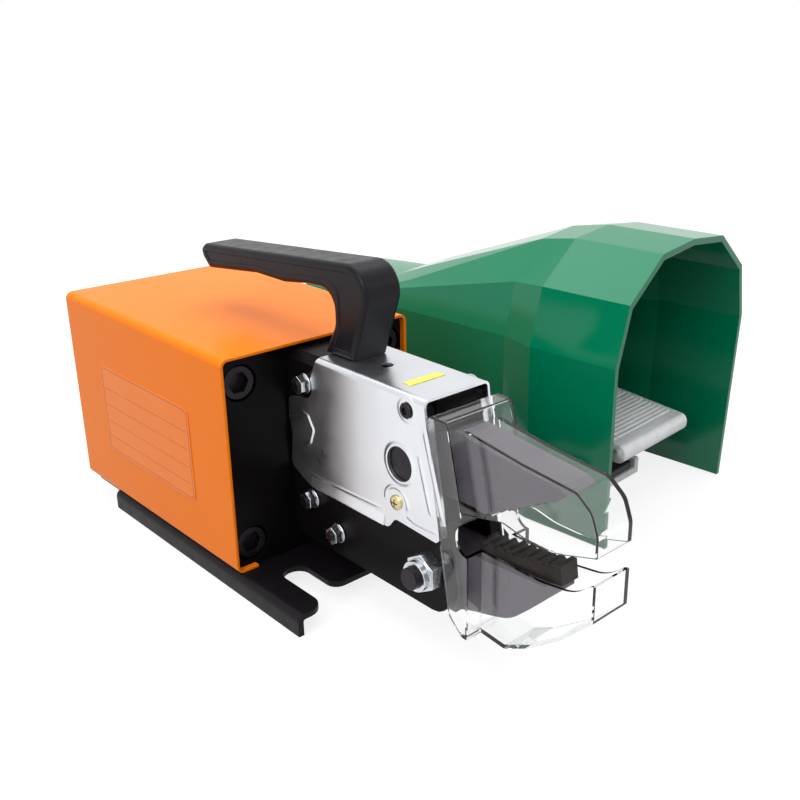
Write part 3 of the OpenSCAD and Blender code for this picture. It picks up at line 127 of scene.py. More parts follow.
def rounded(rows: Rows, steps: int = 8, thinned: bool = True) -> np.ndarray:
    """A closed outline whose corners are arcs.

    Each corner's arc is centred on the bisector at radius / sin(half angle) from the corner.

    Args:
        rows: (x, y, radius) for each corner.
        steps: how many straight pieces each arc has.
        thinned: drops points that fall on their neighbours.

    Returns:
        An (n, 2) array of points.
    """
    table = np.array(rows, float)
    p, r = table[:, :2], table[:, 2:]
    u, v = unit(np.roll(p, 1, axis=0) - p), unit(np.roll(p, -1, axis=0) - p)
    half = np.arccos(np.clip((u * v).sum(axis=1, keepdims=True), -1, 1)) / 2
    centre = p + unit(u + v) * r / np.sin(half)
    start, end = p + u * r / np.tan(half) - centre, p + v * r / np.tan(half) - centre
    first, last = np.arctan2(start[:, 1:], start[:, :1]), np.arctan2(end[:, 1:], end[:, :1])
    sweep = (last - first + 3 * np.pi) % (2 * np.pi) - np.pi
    angle = first + sweep * np.linspace(0, 1, steps + 1)
    points = centre[:, None, :] + r[:, None, :] * np.stack([np.cos(angle), np.sin(angle)], axis=-1)
    points = points.reshape(-1, 2)
    if not thinned:
        return points
    return points[np.linalg.norm(points - np.roll(points, 1, axis=0), axis=1) > SAME_POINT_MM]


def inset(rows: Rows, depth: float, least_radius: float = 0.02) -> np.ndarray:
    """An outline's rows drawn inwards, each corner along its mitre.

    A corner moves by the sum of its two sides' inward normals times depth / (1 + their dot product).

    Args:
        rows: (x, y, radius) for each corner.
        depth: how far each side moves inwards.
        least_radius: the radius that is left on a corner that the depth would use up.

    Returns:
        An (n, 3) array of (x, y, radius) rows.
    """
    table = np.array(rows, float)
    p = table[:, :2]
    u, v = unit(p - np.roll(p, 1, axis=0)), unit(np.roll(p, -1, axis=0) - p)
    area = float(np.sum(p[:, 0] * np.roll(p[:, 1], -1) - np.roll(p[:, 0], -1) * p[:, 1]))
    side = math.copysign(1.0, area)
    nu, nv = side * np.stack([-u[:, 1], u[:, 0]], -1), side * np.stack([-v[:, 1], v[:, 0]], -1)
    moved = p + (nu + nv) * depth / (1 + (nu * nv).sum(axis=1, keepdims=True))
    return np.column_stack([moved, np.maximum(table[:, 2] - depth, least_radius)])


def resampled(path: np.ndarray, count: int) -> np.ndarray:
    """Points spaced evenly by arc length along an open polyline."""
    run = np.concatenate([[0], np.cumsum(np.linalg.norm(np.diff(path, axis=0), axis=1))])
    at = np.linspace(0, run[-1], count)
    return np.stack([np.interp(at, run, path[:, k]) for k in range(path.shape[1])], axis=-1)


def rectangle(low: tuple[float, float], high: tuple[float, float]) -> np.ndarray:
    """The four corners of an upright rectangle."""
    return np.array([low, (high[0], low[1]), high, (low[0], high[1])])


def arc(centre: tuple[float, float], radius: float, sweep: tuple[float, float],
        steps: int = 31) -> np.ndarray:
    """Points on an arc round a centre, over a sweep from one angle to another in degrees."""
    angle = np.radians(np.linspace(*sweep, steps + 1))
    return np.stack([centre[0] + radius * np.cos(angle), centre[1] + radius * np.sin(angle)], axis=-1)


def quads(rows: int, columns: int, close_rows: bool = False) -> np.ndarray:
    """Faces of a grid of points whose rows are closed rings.

    Args:
        rows: how many rings there are.
        columns: how many points a ring has.
        close_rows: joins the last ring to the first.

    Returns:
        An (n, 4) array of indices.
    """
    i = np.arange(rows if close_rows else rows - 1)[:, None]
    j = np.arange(columns)[None, :]
    i2, j2 = (i + 1) % rows, (j + 1) % columns
    return np.stack(
        [i * columns + j, i * columns + j2, i2 * columns + j2, i2 * columns + j], axis=-1
    ).reshape(-1, 4)


@dataclass
class Surface:
    """Points and faces, joined with others before they become one mesh."""

    points: np.ndarray
    faces: list[list[int]]

    @staticmethod
    def joined(parts: Sequence["Surface"]) -> "Surface":
        """Several surfaces as one."""
        faces: list[list[int]] = []
        shift = 0
        for part in parts:
            faces += [[index + shift for index in face] for face in part.faces]
            shift += len(part.points)
        return Surface(np.vstack([part.points for part in parts]), faces)


def prism(outline: np.ndarray, low: float, high: float, axis: Axis = Axis.X) -> Surface:
    """A closed slab: an outline carried straight along an axis.

    Args:
        outline: (n, 2) points, which are (y, z) for the x axis and (x, z) for the y axis.
        low: where the slab begins along the axis.
        high: where it ends.
        axis: the axis that it is carried along.

    Returns:
        The slab's surface.
    """
    n = len(outline)
    ends = np.repeat([low, high], n)
    points = np.insert(np.tile(outline, (2, 1)), axis.value, ends, axis=1)
    ring = np.arange(n)
    sides = np.stack([ring, np.roll(ring, -1), np.roll(ring, -1) + n, ring + n], axis=-1)
    return Surface(points, sides.tolist() + [ring[::-1].tolist(), (ring + n).tolist()])


def lofted(rings: np.ndarray, capped: bool = True, loop: bool = False) -> Surface:
    """A skin over closed rings.

    Args:
        rings: an array of (ring, point, xyz).
        capped: closes the first and the last ring with a flat face.
        loop: joins the last ring to the first.

    Returns:
        The skin's surface.
    """
    count, m = rings.shape[:2]
    faces = quads(count, m, close_rows=loop).tolist()
    if capped:
        ring = np.arange(m)
        faces += [ring[::-1].tolist(), (ring + m * (count - 1)).tolist()]
    return Surface(rings.reshape(-1, 3), faces)


def turned(profile: Rows, centre: tuple[float, float], sides: int = 48, loop: bool = False) -> Surface:
    """A turned piece: a profile carried round an axis that runs along x.

    Args:
        profile: (x, radius) rows from one end to the other; a radius of 0 closes an end in a pole.
        centre: where the axis stands, as (y, z).
        sides: how many steps the circle has.
        loop: the profile closes on itself, which makes a ring.

    Returns:
        The piece's surface.
    """
    rows = np.array(profile, float)
    angle = np.linspace(0, 2 * np.pi, sides, endpoint=False)
    along = np.repeat(rows[:, :1], sides, axis=1)
    across = centre[0] + rows[:, 1:] * np.cos(angle)
    up = centre[1] + rows[:, 1:] * np.sin(angle)
    return lofted(np.stack([along, across, up], axis=-1), capped=not loop, loop=loop)


@dataclass(frozen=True)
class Bead:
    """A pressed bead on a flat sheet: a rounded ridge that runs out flat at both ends.

    The path holds (y, z) points of its middle line, and width and height are its greatest, in mm. It
    has this many rings and columns, runs out over a share of its length, and its foot lies just proud
    of the sheet, with a root sunk in it.
    """

    path: Rows
    width: float
    height: float
    rings: int = 40
    columns: int = 11
    run_out: float = 0.15
    proud: float = 0.01
    root: float = 0.3

    def surface(self, x: float, outwards: int) -> Surface:
        """The bead's surface: across it rises as (1 + cos) / 2, and along it as a smooth S.

        Args:
            x: where the sheet's outer face lies.
            outwards: the sign of the direction that it stands out in.

        Returns:
            The closed surface.
        """
        line = resampled(np.array(self.path, float), self.rings)
        ahead = unit(np.gradient(line, axis=0))
        across = np.stack([-ahead[:, 1], ahead[:, 0]], axis=-1)
        u = np.linspace(-1, 1, self.columns)
        rise = 0.5 + 0.5 * np.cos(np.pi * u)
        along = np.linspace(0, 1, self.rings)
        ends = smooth_step(along / self.run_out) * smooth_step((1 - along) / self.run_out)
        up = ends[:, None] * rise[None, :] * self.height
        flat = line[:, None, :] + across[:, None, :] * (u * self.width / 2)[None, :, None]
        face = np.concatenate([(x + outwards * (self.proud + up))[..., None], flat], axis=-1)
        back = face[:, [-1, 0], :].copy()
        back[..., 0] = x - outwards * self.root
        return lofted(np.concatenate([face, back], axis=1))


@dataclass(frozen=True)
class Rim:
    """A raised ring round a hole, whose outer side runs out flat on the sheet. Sizes are in mm."""

    inner: float
    outer: float
    height: float
    lip: float = 0.35
    shoulder: float = 0.75
    proud: float = 0.01
    root: float = 0.3
    steps: int = 8
    sides: int = 64

    def surface(self, half: float, centre: tuple[float, float], outwards: int) -> Surface:
        """The ring's surface: from its lip outwards it falls as (1 + cos) / 2.

        Args:
            half: how far the sheet's outer face lies from the middle.
            centre: the hole's middle, as (y, z).
            outwards: the sign of the side that it is on.

        Returns:
            The closed surface.
        """
        t = np.linspace(0, 1, self.steps + 1)
        top = half + self.proud + self.height * (0.5 + 0.5 * np.cos(np.pi * t))
        radius = self.inner + self.lip + t * (self.outer - self.inner - self.lip)
        rows = [(half - self.root, self.inner), (half + self.height * self.shoulder, self.inner)]
        rows += [*zip(top, radius), (half - self.root, self.outer)]
        return turned([(outwards * x, r) for x, r in rows], centre, self.sides, loop=True)


# Finishes


def linear(colour: str) -> tuple[float, float, float, float]:
    """An sRGB hex colour as the linear colour that a shader takes."""
    values = np.array([int(colour[i : i + 2], 16) for i in (1, 3, 5)]) / 255
    r, g, b = np.where(values <= 0.04045, values / 12.92, ((values + 0.055) / 1.055) ** 2.4)
    return float(r), float(g), float(b), 1.0


def add(tree: bpy.types.NodeTree, kind: str, sockets: dict | None = None, links: dict | None = None,
        **settings: object) -> bpy.types.Node:
    """Adds one shader node.

    Args:
        tree: the material's node tree.
        kind: the node's type name, without its ShaderNode prefix.
        sockets: input name to a plain value.
        links: input name to the output that feeds it.
        **settings: the node's own settings.

    Returns:
        The new node.
    """
    node = tree.nodes.new("ShaderNode" + kind)
    for name, value in settings.items():
        setattr(node, name, value)
    for name, value in (sockets or {}).items():
        node.inputs[name].default_value = value
    for name, output in (links or {}).items():
        tree.links.new(output, node.inputs[name])
    return node


# The span that most of a noise pattern's values fall in, round its middle
NOISE_LOW = 0.3
NOISE_MIDDLE = 0.5
NOISE_HIGH = 0.7
# The least roughness, and the narrowest blend between two tints
GLOSSIEST = 0.02
SHARPEST_TINT = 0.04


@dataclass(frozen=True)
class Grain:
    """A bump or tint pattern: its size in mm, stretched along the axes, and how deep or strong it is."""

    size: float
    strength: float
    stretch: tuple[float, float, float] = (1.0, 1.0, 1.0)
    detail: float = 2.0

    def noise(self, tree: bpy.types.NodeTree) -> bpy.types.NodeSocket:
        """The pattern's value, about 0.5 on average, over Object coordinates."""
        place = add(tree, "TexCoord")
        scale = tuple(1 / (self.size * MM * s) for s in self.stretch)
        spread = add(tree, "Mapping", {"Scale": scale}, {"Vector": place.outputs["Object"]})
        noise = add(tree, "TexNoise", {"Scale": 1.0, "Detail": self.detail, "Roughness": 0.55},
                    {"Vector": spread.outputs["Vector"]})
        return noise.outputs["Fac"]


@dataclass(frozen=True)
class Finish:
    """One surface finish.

    The tint blends its two colours, the relief's grains are heights in mm, the gloss varies its
    roughness, and a clear finish absorbs towards its second colour, so much per metre.
    """

    name: str
    colour: str
    roughness: float
    metallic: float = 0.0
    second: str = ""
    tint: Grain | None = None
    relief: tuple[Grain, ...] = ()
    gloss: Grain | None = None
    ior: float = 1.5
    clear: float = 0.0
    absorption: float = 0.0

    def material(self) -> bpy.types.Material:
        """The finish as a material; it is made once and then shared."""
        known = bpy.data.materials.get(self.name)
        if known:
            return known
        material = bpy.data.materials.new(self.name)
        material.use_nodes = True
        tree = material.node_tree
        shader = tree.nodes["Principled BSDF"]
        for socket, value in (("Base Color", linear(self.colour)), ("Roughness", self.roughness),
                              ("Metallic", self.metallic), ("Transmission Weight", self.clear)):
            shader.inputs[socket].default_value = value
        if not self.metallic:
            shader.inputs["IOR"].default_value = self.ior
        if self.tint:
            self._mix_tint(tree, shader)
        if self.gloss:
            self._vary_gloss(tree, shader)
        self._raise_relief(tree, shader)
        if self.absorption:
            inside = add(tree, "VolumeAbsorption", {"Color": linear(self.second), "Density": self.absorption})
            tree.links.new(inside.outputs["Volume"], tree.nodes["Material Output"].inputs["Volume"])
        return material

    def _mix_tint(self, tree: bpy.types.NodeTree, shader: bpy.types.Node) -> None:
        """Blends the two colours over the tint's pattern."""
        ramp = add(tree, "ValToRGB", links={"Fac": self.tint.noise(tree)})
        width = NOISE_MIDDLE * max(1.0 - self.tint.strength, SHARPEST_TINT)
        low, high = ramp.color_ramp.elements
        low.position, low.color = NOISE_MIDDLE - width, linear(self.colour)
        high.position, high.color = NOISE_MIDDLE + width, linear(self.second)
        tree.links.new(ramp.outputs["Color"], shader.inputs["Base Color"])

    def _vary_gloss(self, tree: bpy.types.NodeTree, shader: bpy.types.Node) -> None:
        """Spreads the roughness over the gloss pattern."""
        low = max(self.roughness - self.gloss.strength, GLOSSIEST)
        high = min(self.roughness + self.gloss.strength, 1.0)
        spread = add(tree, "MapRange", {"From Min": NOISE_LOW, "From Max": NOISE_HIGH, "To Min": low,
                                        "To Max": high}, {"Value": self.gloss.noise(tree)})
        tree.links.new(spread.outputs["Result"], shader.inputs["Roughness"])

    def _raise_relief(self, tree: bpy.types.NodeTree, shader: bpy.types.Node) -> None:
        """Chains a bump node for each grain of the relief."""
        normal = None
        for grain in self.relief:
            links = {"Height": grain.noise(tree)}
            if normal:
                links["Normal"] = normal
            bump = add(tree, "Bump", {"Strength": 1.0, "Distance": grain.strength * MM}, links)
            normal = bump.outputs["Normal"]
        if normal:
            tree.links.new(normal, shader.inputs["Normal"])


# Stoved orange enamel on sheet steel: even and saturated, with a faint orange peel
ORANGE_ENAMEL = Finish("orange_stoving_enamel", "#F07A10", 0.24, second="#F27D14", tint=Grain(60, 0.2),
                       relief=(Grain(2.2, 0.0015),), gloss=Grain(25, 0.02), ior=1.15)
# Printed polyester plate: paler and pinker than the enamel under it, nearly flat
PLATE_PRINT = Finish("polyester_plate", "#EE7E30", 0.34, second="#F08438", tint=Grain(30, 0.3),
                     relief=(Grain(5, 0.003),), ior=1.2)
# Screen-printed ink of the plate's ruled lines: brown and matt
PLATE_LINE = Finish("plate_ruled_line", "#B4561E", 0.45, relief=(Grain(4, 0.002),))
# Black enamel on machined heads and plates: deep black with soft wide highlights
BLACK_ENAMEL = Finish("black_enamel", "#0A0809", 0.34, second="#0E0B0D", tint=Grain(18, 0.3),
                      relief=(Grain(1.6, 0.004),), gloss=Grain(12, 0.05), ior=1.15)
# Sand-textured black powder coat of the folded base: black with a fine tooth
BLACK_POWDER = Finish("black_powder_coat", "#100D10", 0.4, second="#161216", tint=Grain(9, 0.3),
                      relief=(Grain(0.9, 0.012),), gloss=Grain(6, 0.05), ior=1.22)
# Blackened, oiled steel: dark with a faint brown cast and fine grinding marks
BLACKENED_STEEL = Finish("blackened_steel", "#252226", 0.36, metallic=0.85, second="#302C30",
                         tint=Grain(6, 0.3), relief=(Grain(0.5, 0.004, (1, 12, 1)),), gloss=Grain(4, 0.06))
# Bright plate over pressed steel: satin, with a little waviness from the press
CHROME_PLATE = Finish("satin_chrome_plate", "#E0E2E6", 0.3, metallic=1.0, second="#D6D9DE",
                      tint=Grain(30, 0.2), relief=(Grain(24, 0.02), Grain(0.7, 0.0008, (1, 9, 1))),
                      gloss=Grain(16, 0.04))
# Zinc-plated fasteners: bright, slightly blue grey, with a fine crystalline bloom
ZINC_PLATE = Finish("zinc_plate", "#D6D9DC", 0.24, metallic=1.0, second="#C2C6CA", tint=Grain(2.5, 0.3),
                    relief=(Grain(0.8, 0.002),), gloss=Grain(2, 0.05))
# Phosphated tool steel of the jaws: matt grey with a violet cast, grinding marks along the jaw
GROUND_STEEL = Finish("phosphated_tool_steel", "#57525B", 0.46, metallic=0.5, second="#625D66",
                      tint=Grain(10, 0.3), relief=(Grain(0.6, 0.005, (1, 20, 1)),), gloss=Grain(5, 0.06))
# Hardened dies: near black scale with a brown cast
DIE_STEEL = Finish("hardened_die_steel", "#1E1818", 0.42, metallic=0.5, second="#2C2422",
                   tint=Grain(3, 0.3), relief=(Grain(0.5, 0.006),), gloss=Grain(2, 0.08))
# Hard chromed and ground rods: mirror bright with faint grinding marks
HARD_CHROME = Finish("hard_chrome_rod", "#D8DADD", 0.14, metallic=1.0, second="#CCD0D4",
                     tint=Grain(8, 0.2), relief=(Grain(0.4, 0.002, (1, 6, 1)),))
# Spring wire, drawn and oiled: grey and softly bright
SPRING_WIRE = Finish("spring_wire", "#9A9CA0", 0.3, metallic=1.0, second="#7F8286", tint=Grain(3, 0.3),
                     relief=(Grain(0.4, 0.004),))
# Extruded aluminium tube and turned aluminium, lightly brushed
BRUSHED_ALUMINIUM = Finish("brushed_aluminium", "#B9BCC0", 0.35, metallic=1.0, second="#A9ACB0",
                           tint=Grain(8, 0.3), relief=(Grain(0.5, 0.004, (14, 1, 1)),),
                           gloss=Grain(5, 0.06))
# Tumbled cast aluminium of the treadle and its base: pale, softly diffuse, finely grained
CAST_ALUMINIUM = Finish("cast_aluminium", "#F2F2F4", 0.5, metallic=0.1, second="#DEDFE2",
                        tint=Grain(5, 0.3, detail=4), relief=(Grain(0.9, 0.012),), gloss=Grain(3, 0.06))
# Leaded bronze of the bush, strip and silencers: warm and half bright
BRONZE = Finish("leaded_bronze", "#B58A4A", 0.34, metallic=1.0, second="#9C7238", tint=Grain(4, 0.3),
                relief=(Grain(0.5, 0.005),))
# Yellow passivated zinc on the cover's lower screws
YELLOW_PASSIVATED = Finish("yellow_passivated_zinc", "#D8CBA2", 0.26, metallic=1.0, second="#C9B67F",
                           tint=Grain(2, 0.4), relief=(Grain(0.6, 0.003),), gloss=Grain(2, 0.06))
# Nitrile rubber: matt black with a dry bloom
NITRILE = Finish("nitrile_rubber", "#141416", 0.62, second="#1D1D20", tint=Grain(4, 0.3),
                 relief=(Grain(0.8, 0.012),))
# Glass-filled nylon of the handle: black, semi-gloss, with the mould's fine spark texture
GLASS_NYLON = Finish("glass_filled_nylon", "#121116", 0.34, second="#17161C", tint=Grain(14, 0.3),
                     relief=(Grain(0.7, 0.006), Grain(9, 0.02)), gloss=Grain(7, 0.05), ior=1.25)
# Moulded nylon of the valve's end caps: dull black with a fine grain
MOULDED_NYLON = Finish("moulded_nylon", "#19191C", 0.45, second="#222226", tint=Grain(8, 0.3),
                       relief=(Grain(0.7, 0.01),))
# Clear polycarbonate of the guard: water clear, grey where the eye looks along a wall
CLEAR_POLYCARBONATE = Finish("clear_polycarbonate", "#FFFFFF", 0.02, second="#9FB0B4",
                             relief=(Grain(26, 0.01),), clear=1.0, absorption=12.0, ior=1.42)
# Green stoving enamel on the valve's cast hood: glossy, over slightly uneven metal
GREEN_ENAMEL = Finish("green_stoving_enamel", "#00734F", 0.12, second="#007853", tint=Grain(50, 0.2),
                      relief=(Grain(2.0, 0.001), Grain(30, 0.02)), gloss=Grain(20, 0.02), ior=1.36)
# Blank yellow marking film on the chrome: lemon yellow, slightly mottled
YELLOW_FILM = Finish("yellow_marking_film", "#E2DF58", 0.35, second="#C9C63C", tint=Grain(4, 0.5),
                     relief=(Grain(1.5, 0.004),))
# The studio's floor paper: matt, with a fine tooth
FLOOR_PAPER = Finish("floor_paper", "#858585", 0.9, relief=(Grain(3, 0.004),))


# The shop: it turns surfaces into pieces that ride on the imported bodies


@dataclass
class Shop:
    nodes: dict[str, bpy.types.Object]
    bodies: dict[str, list[str]]
    origin: np.ndarray

    def body_of(self, node: str) -> str:
        """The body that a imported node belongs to."""
        return next(body for body, members in self.bodies.items() if node in members)

    def placed(self, points: np.ndarray) -> np.ndarray:
        """Points in mm of the machine's frame as metres in the row's frame."""
        return (np.asarray(points, float) + self.origin) * MM

    def piece(self, name: str, surface: Surface, finish: Finish, stands_for: Sequence[str] = (),
              body: str = "", bevel: float = 0.0, angle: float = 32.0, slot: str = "") -> bpy.types.Object:
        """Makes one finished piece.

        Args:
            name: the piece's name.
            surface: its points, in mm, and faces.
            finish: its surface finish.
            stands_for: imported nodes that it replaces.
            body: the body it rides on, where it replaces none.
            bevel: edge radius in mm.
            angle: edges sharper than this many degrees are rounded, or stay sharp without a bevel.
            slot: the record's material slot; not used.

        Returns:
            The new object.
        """
        mesh = bpy.data.meshes.new(name)
        mesh.from_pydata(self.placed(surface.points).tolist(), [], surface.faces)
        mesh.validate()
        shape = bmesh.new()
        shape.from_mesh(mesh)
        bmesh.ops.remove_doubles(shape, verts=shape.verts, dist=MERGE_NEW)
        loose = [v for v in shape.verts if not v.link_faces]
        bmesh.ops.delete(shape, geom=loose, context="VERTS")
        bmesh.ops.recalc_face_normals(shape, faces=shape.faces)
        return self._finished(name, mesh, shape, finish, stands_for, body, bevel, 2, angle)

    def refined(self, node: str, finish: Finish, bevel: float = 0.25, segments: int = 2,
                angle: float = 32.0, joined: bool = True) -> bpy.types.Object:
        """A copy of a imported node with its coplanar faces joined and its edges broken.

        Args:
            node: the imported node.
            finish: its surface finish.
            bevel: edge radius in mm.
            segments: steps across the rounded edge.
            angle: edges sharper than this many degrees are rounded, or stay sharp without a bevel.
            joined: joins coplanar faces; off for a face with many holes.

        Returns:
            The new object.
        """
        mesh = self.nodes[node].data.copy()
        mesh.name = "dressed_" + node
        mesh.materials.clear()
        shape = bmesh.new()
        shape.from_mesh(mesh)
        bmesh.ops.remove_doubles(shape, verts=shape.verts, dist=MERGE_PACKED)
        if joined:
            bmesh.ops.dissolve_limit(shape, angle_limit=math.radians(FLAT_DEGREES), verts=shape.verts,
                                     edges=shape.edges)
        return self._finished(mesh.name, mesh, shape, finish, (node,), "", bevel, segments, angle)

    def coated(self, finish: Finish, *names: str) -> None:
        """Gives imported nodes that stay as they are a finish."""
        for name in names:
            slots = self.nodes[name].material_slots
            if not slots:
                self.nodes[name].data.materials.append(finish.material())
            for slot in slots:
                slot.material = finish.material()

    def spring(self, node: str) -> None:
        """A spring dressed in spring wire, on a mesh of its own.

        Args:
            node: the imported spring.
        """
        piece = self.refined(node, SPRING_WIRE, 0.0, angle=62.0)
        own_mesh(piece)

    def _finished(self, name: str, mesh: bpy.types.Mesh, shape: bmesh.types.BMesh, finish: Finish,
                  stands_for: Sequence[str], body: str, bevel: float, segments: int, angle: float) -> bpy.types.Object:
        """Turns a shape into a piece with its finish, edges and shading, and hands it over.

        Args:
            name: the piece's name.
            mesh: the mesh that takes the shape.
            shape: the shape, which is freed.
            finish: its surface finish.
            stands_for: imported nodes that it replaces.
            body: the body it rides on, where it replaces none.
            bevel: edge radius in mm.
            segments: steps across the rounded edge.
            angle: edges sharper than this many degrees are rounded, or stay sharp without a bevel.

        Returns:
            The new object.
        """
        shape.to_mesh(mesh)
        shape.free()
        mesh.materials.append(finish.material())
        mesh.polygons.foreach_set("use_smooth", np.ones(len(mesh.polygons), bool))
        piece = bpy.data.objects.new(name, mesh)
        bpy.context.scene.collection.objects.link(piece)
        if bevel:
            edge = piece.modifiers.new("edge", "BEVEL")
            edge.width, edge.segments, edge.limit_method = bevel * MM, segments, "ANGLE"
            edge.angle_limit, edge.harden_normals = math.radians(angle), True
            edge.use_clamp_overlap, edge.miter_outer = True, "MITER_ARC"
        else:
            mesh.set_sharp_from_angle(angle=math.radians(angle))
        weighted = piece.modifiers.new("shading", "WEIGHTED_NORMAL")
        weighted.keep_sharp, weighted.weight = True, SHADING_WEIGHT
        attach(piece, body or self.body_of(stands_for[0]))
        if stands_for:
            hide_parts(*stands_for)
        LOG.info("%s: %d faces", name, len(mesh.polygons))
        return piece


# The machine


@dataclass
class AirCylinder:
    """Orange cover, base plate, the two cylinder heads and what closes them."""

    width: float = 110.0
    height: float = 110.0
    length: float = 160.0
    sheet: float = 1.5
    bend: float = 4.0
    flange: float = 12.0
    bend_steps: int = 10
    # The blank plate's length, height, lower edge, thickness and corner radius
    plate_long: float = 92.0
    plate_high: float = 50.0
    plate_low: float = 27.0
    plate_proud: float = 0.4
    plate_corner: float = 4.0
    # The ruled frame: its line, its distance from the edge, how proud it is and how thick
    line: float = 0.5
    line_inset: float = 1.2
    line_proud: float = 0.45
    line_thick: float = 0.1
    # How much the frame's inner edge is drawn in, lengthwise and upright, over two lines' width
    drawn_in: tuple[float, float] = (1.0, 1.8)
    # The ruled rows: their line, their distance from the ends, and their places down the plate
    row_line: float = 0.3
    row_margin: float = 3.0
    row_shares: tuple[float, ...] = (0.26, 0.45, 0.64, 0.82)
    # How far the return spring is pressed together
    spring_travel: float = 36.0

    def build(self, shop: Shop) -> None:
        """Builds and dresses every piece of the cylinder."""
        self.cover(shop)
        self.rating_plate(shop)
        self.ruled_lines(shop)
        shop.refined("base_plate", BLACK_POWDER, 0.5)
        for node in ("front_head", "rear_head"):
            shop.refined(node, BLACK_ENAMEL, 0.6)
        shop.refined("tie_bolts", BLACKENED_STEEL, 0.6)
        shop.refined("base_screws", BLACKENED_STEEL, 0.4)
        shop.coated(BRUSHED_ALUMINIUM, "cylinder_barrel", "piston")
        shop.coated(NITRILE, "barrel_seals", "rod_seal", "piston_seal")
        shop.coated(BRONZE, "rod_bush")
        shop.coated(HARD_CHROME, "piston_rod")
        shop.coated(ZINC_PLATE, "piston_nut")
        shop.spring("return_spring")

    def cover(self, shop: Shop) -> None:
        """The folded cover: a closed sheet outline in (x, z) carried along y."""
        w, h, t, f = self.width / 2, self.height, self.sheet, self.flange
        outer, inner = self.bend, self.bend - self.sheet
        outline = rounded([
            (-w + f, 0, 0), (-w, 0, outer), (-w, h, outer), (w, h, outer), (w, 0, outer), (w - f, 0, 0),
            (w - f, t, 0), (w - t, t, inner), (w - t, h - t, inner), (-w + t, h - t, inner),
            (-w + t, t, inner), (-w + f, t, 0),
        ], self.bend_steps)
        surface = prism(outline, -self.length / 2, self.length / 2, Axis.Y)
        shop.piece("sheet_cover", surface, ORANGE_ENAMEL, ("body_cover",), bevel=0.25, slot="orange_paint")

    def plate_outline(self, margin: float) -> np.ndarray:
        """The plate's rounded outline in (y, z), drawn in by a margin."""
        y, r = self.plate_long / 2 - margin, self.plate_corner - margin
        low, top = self.plate_low + margin, self.plate_low + self.plate_high - margin
        return rounded([(-y, low, r), (y, low, r), (y, top, r), (-y, top, r)])

    def rating_plate(self, shop: Shop) -> None:
        """The blank plate on the cover's left side."""
        x = -self.width / 2
        face = prism(self.plate_outline(0.0), x - self.plate_proud, x)
        shop.piece("blank_plate", face, PLATE_PRINT, ("rating_plate",), bevel=0.1, slot="orange_plate")

    def ruled_lines(self, shop: Shop) -> None:
        """A thin ruled frame just inside the plate's edge and ruled rows down the plate."""
        x = -self.width / 2 - self.line_proud
        back = x + self.line_thick
        outer = self.plate_outline(self.line_inset)
        middle = outer.mean(axis=0)
        inner = middle + (outer - middle) * (1 - 2 * self.line / self.plate_long * np.array(self.drawn_in))
        rings = [np.column_stack([np.full(len(ring), place), ring])
                 for ring, place in ((outer, back), (outer, x), (inner, x), (inner, back))]
        parts = [lofted(np.stack(rings), capped=False)]
        y = self.plate_long / 2 - self.row_margin
        for share in self.row_shares:
            low = self.plate_low + self.plate_high - share * self.plate_high
            parts.append(prism(rectangle((-y, low), (y, low + self.row_line)), x, back))
        shop.piece("plate_lines", Surface.joined(parts), PLATE_LINE, body="base", slot="orange_plate")


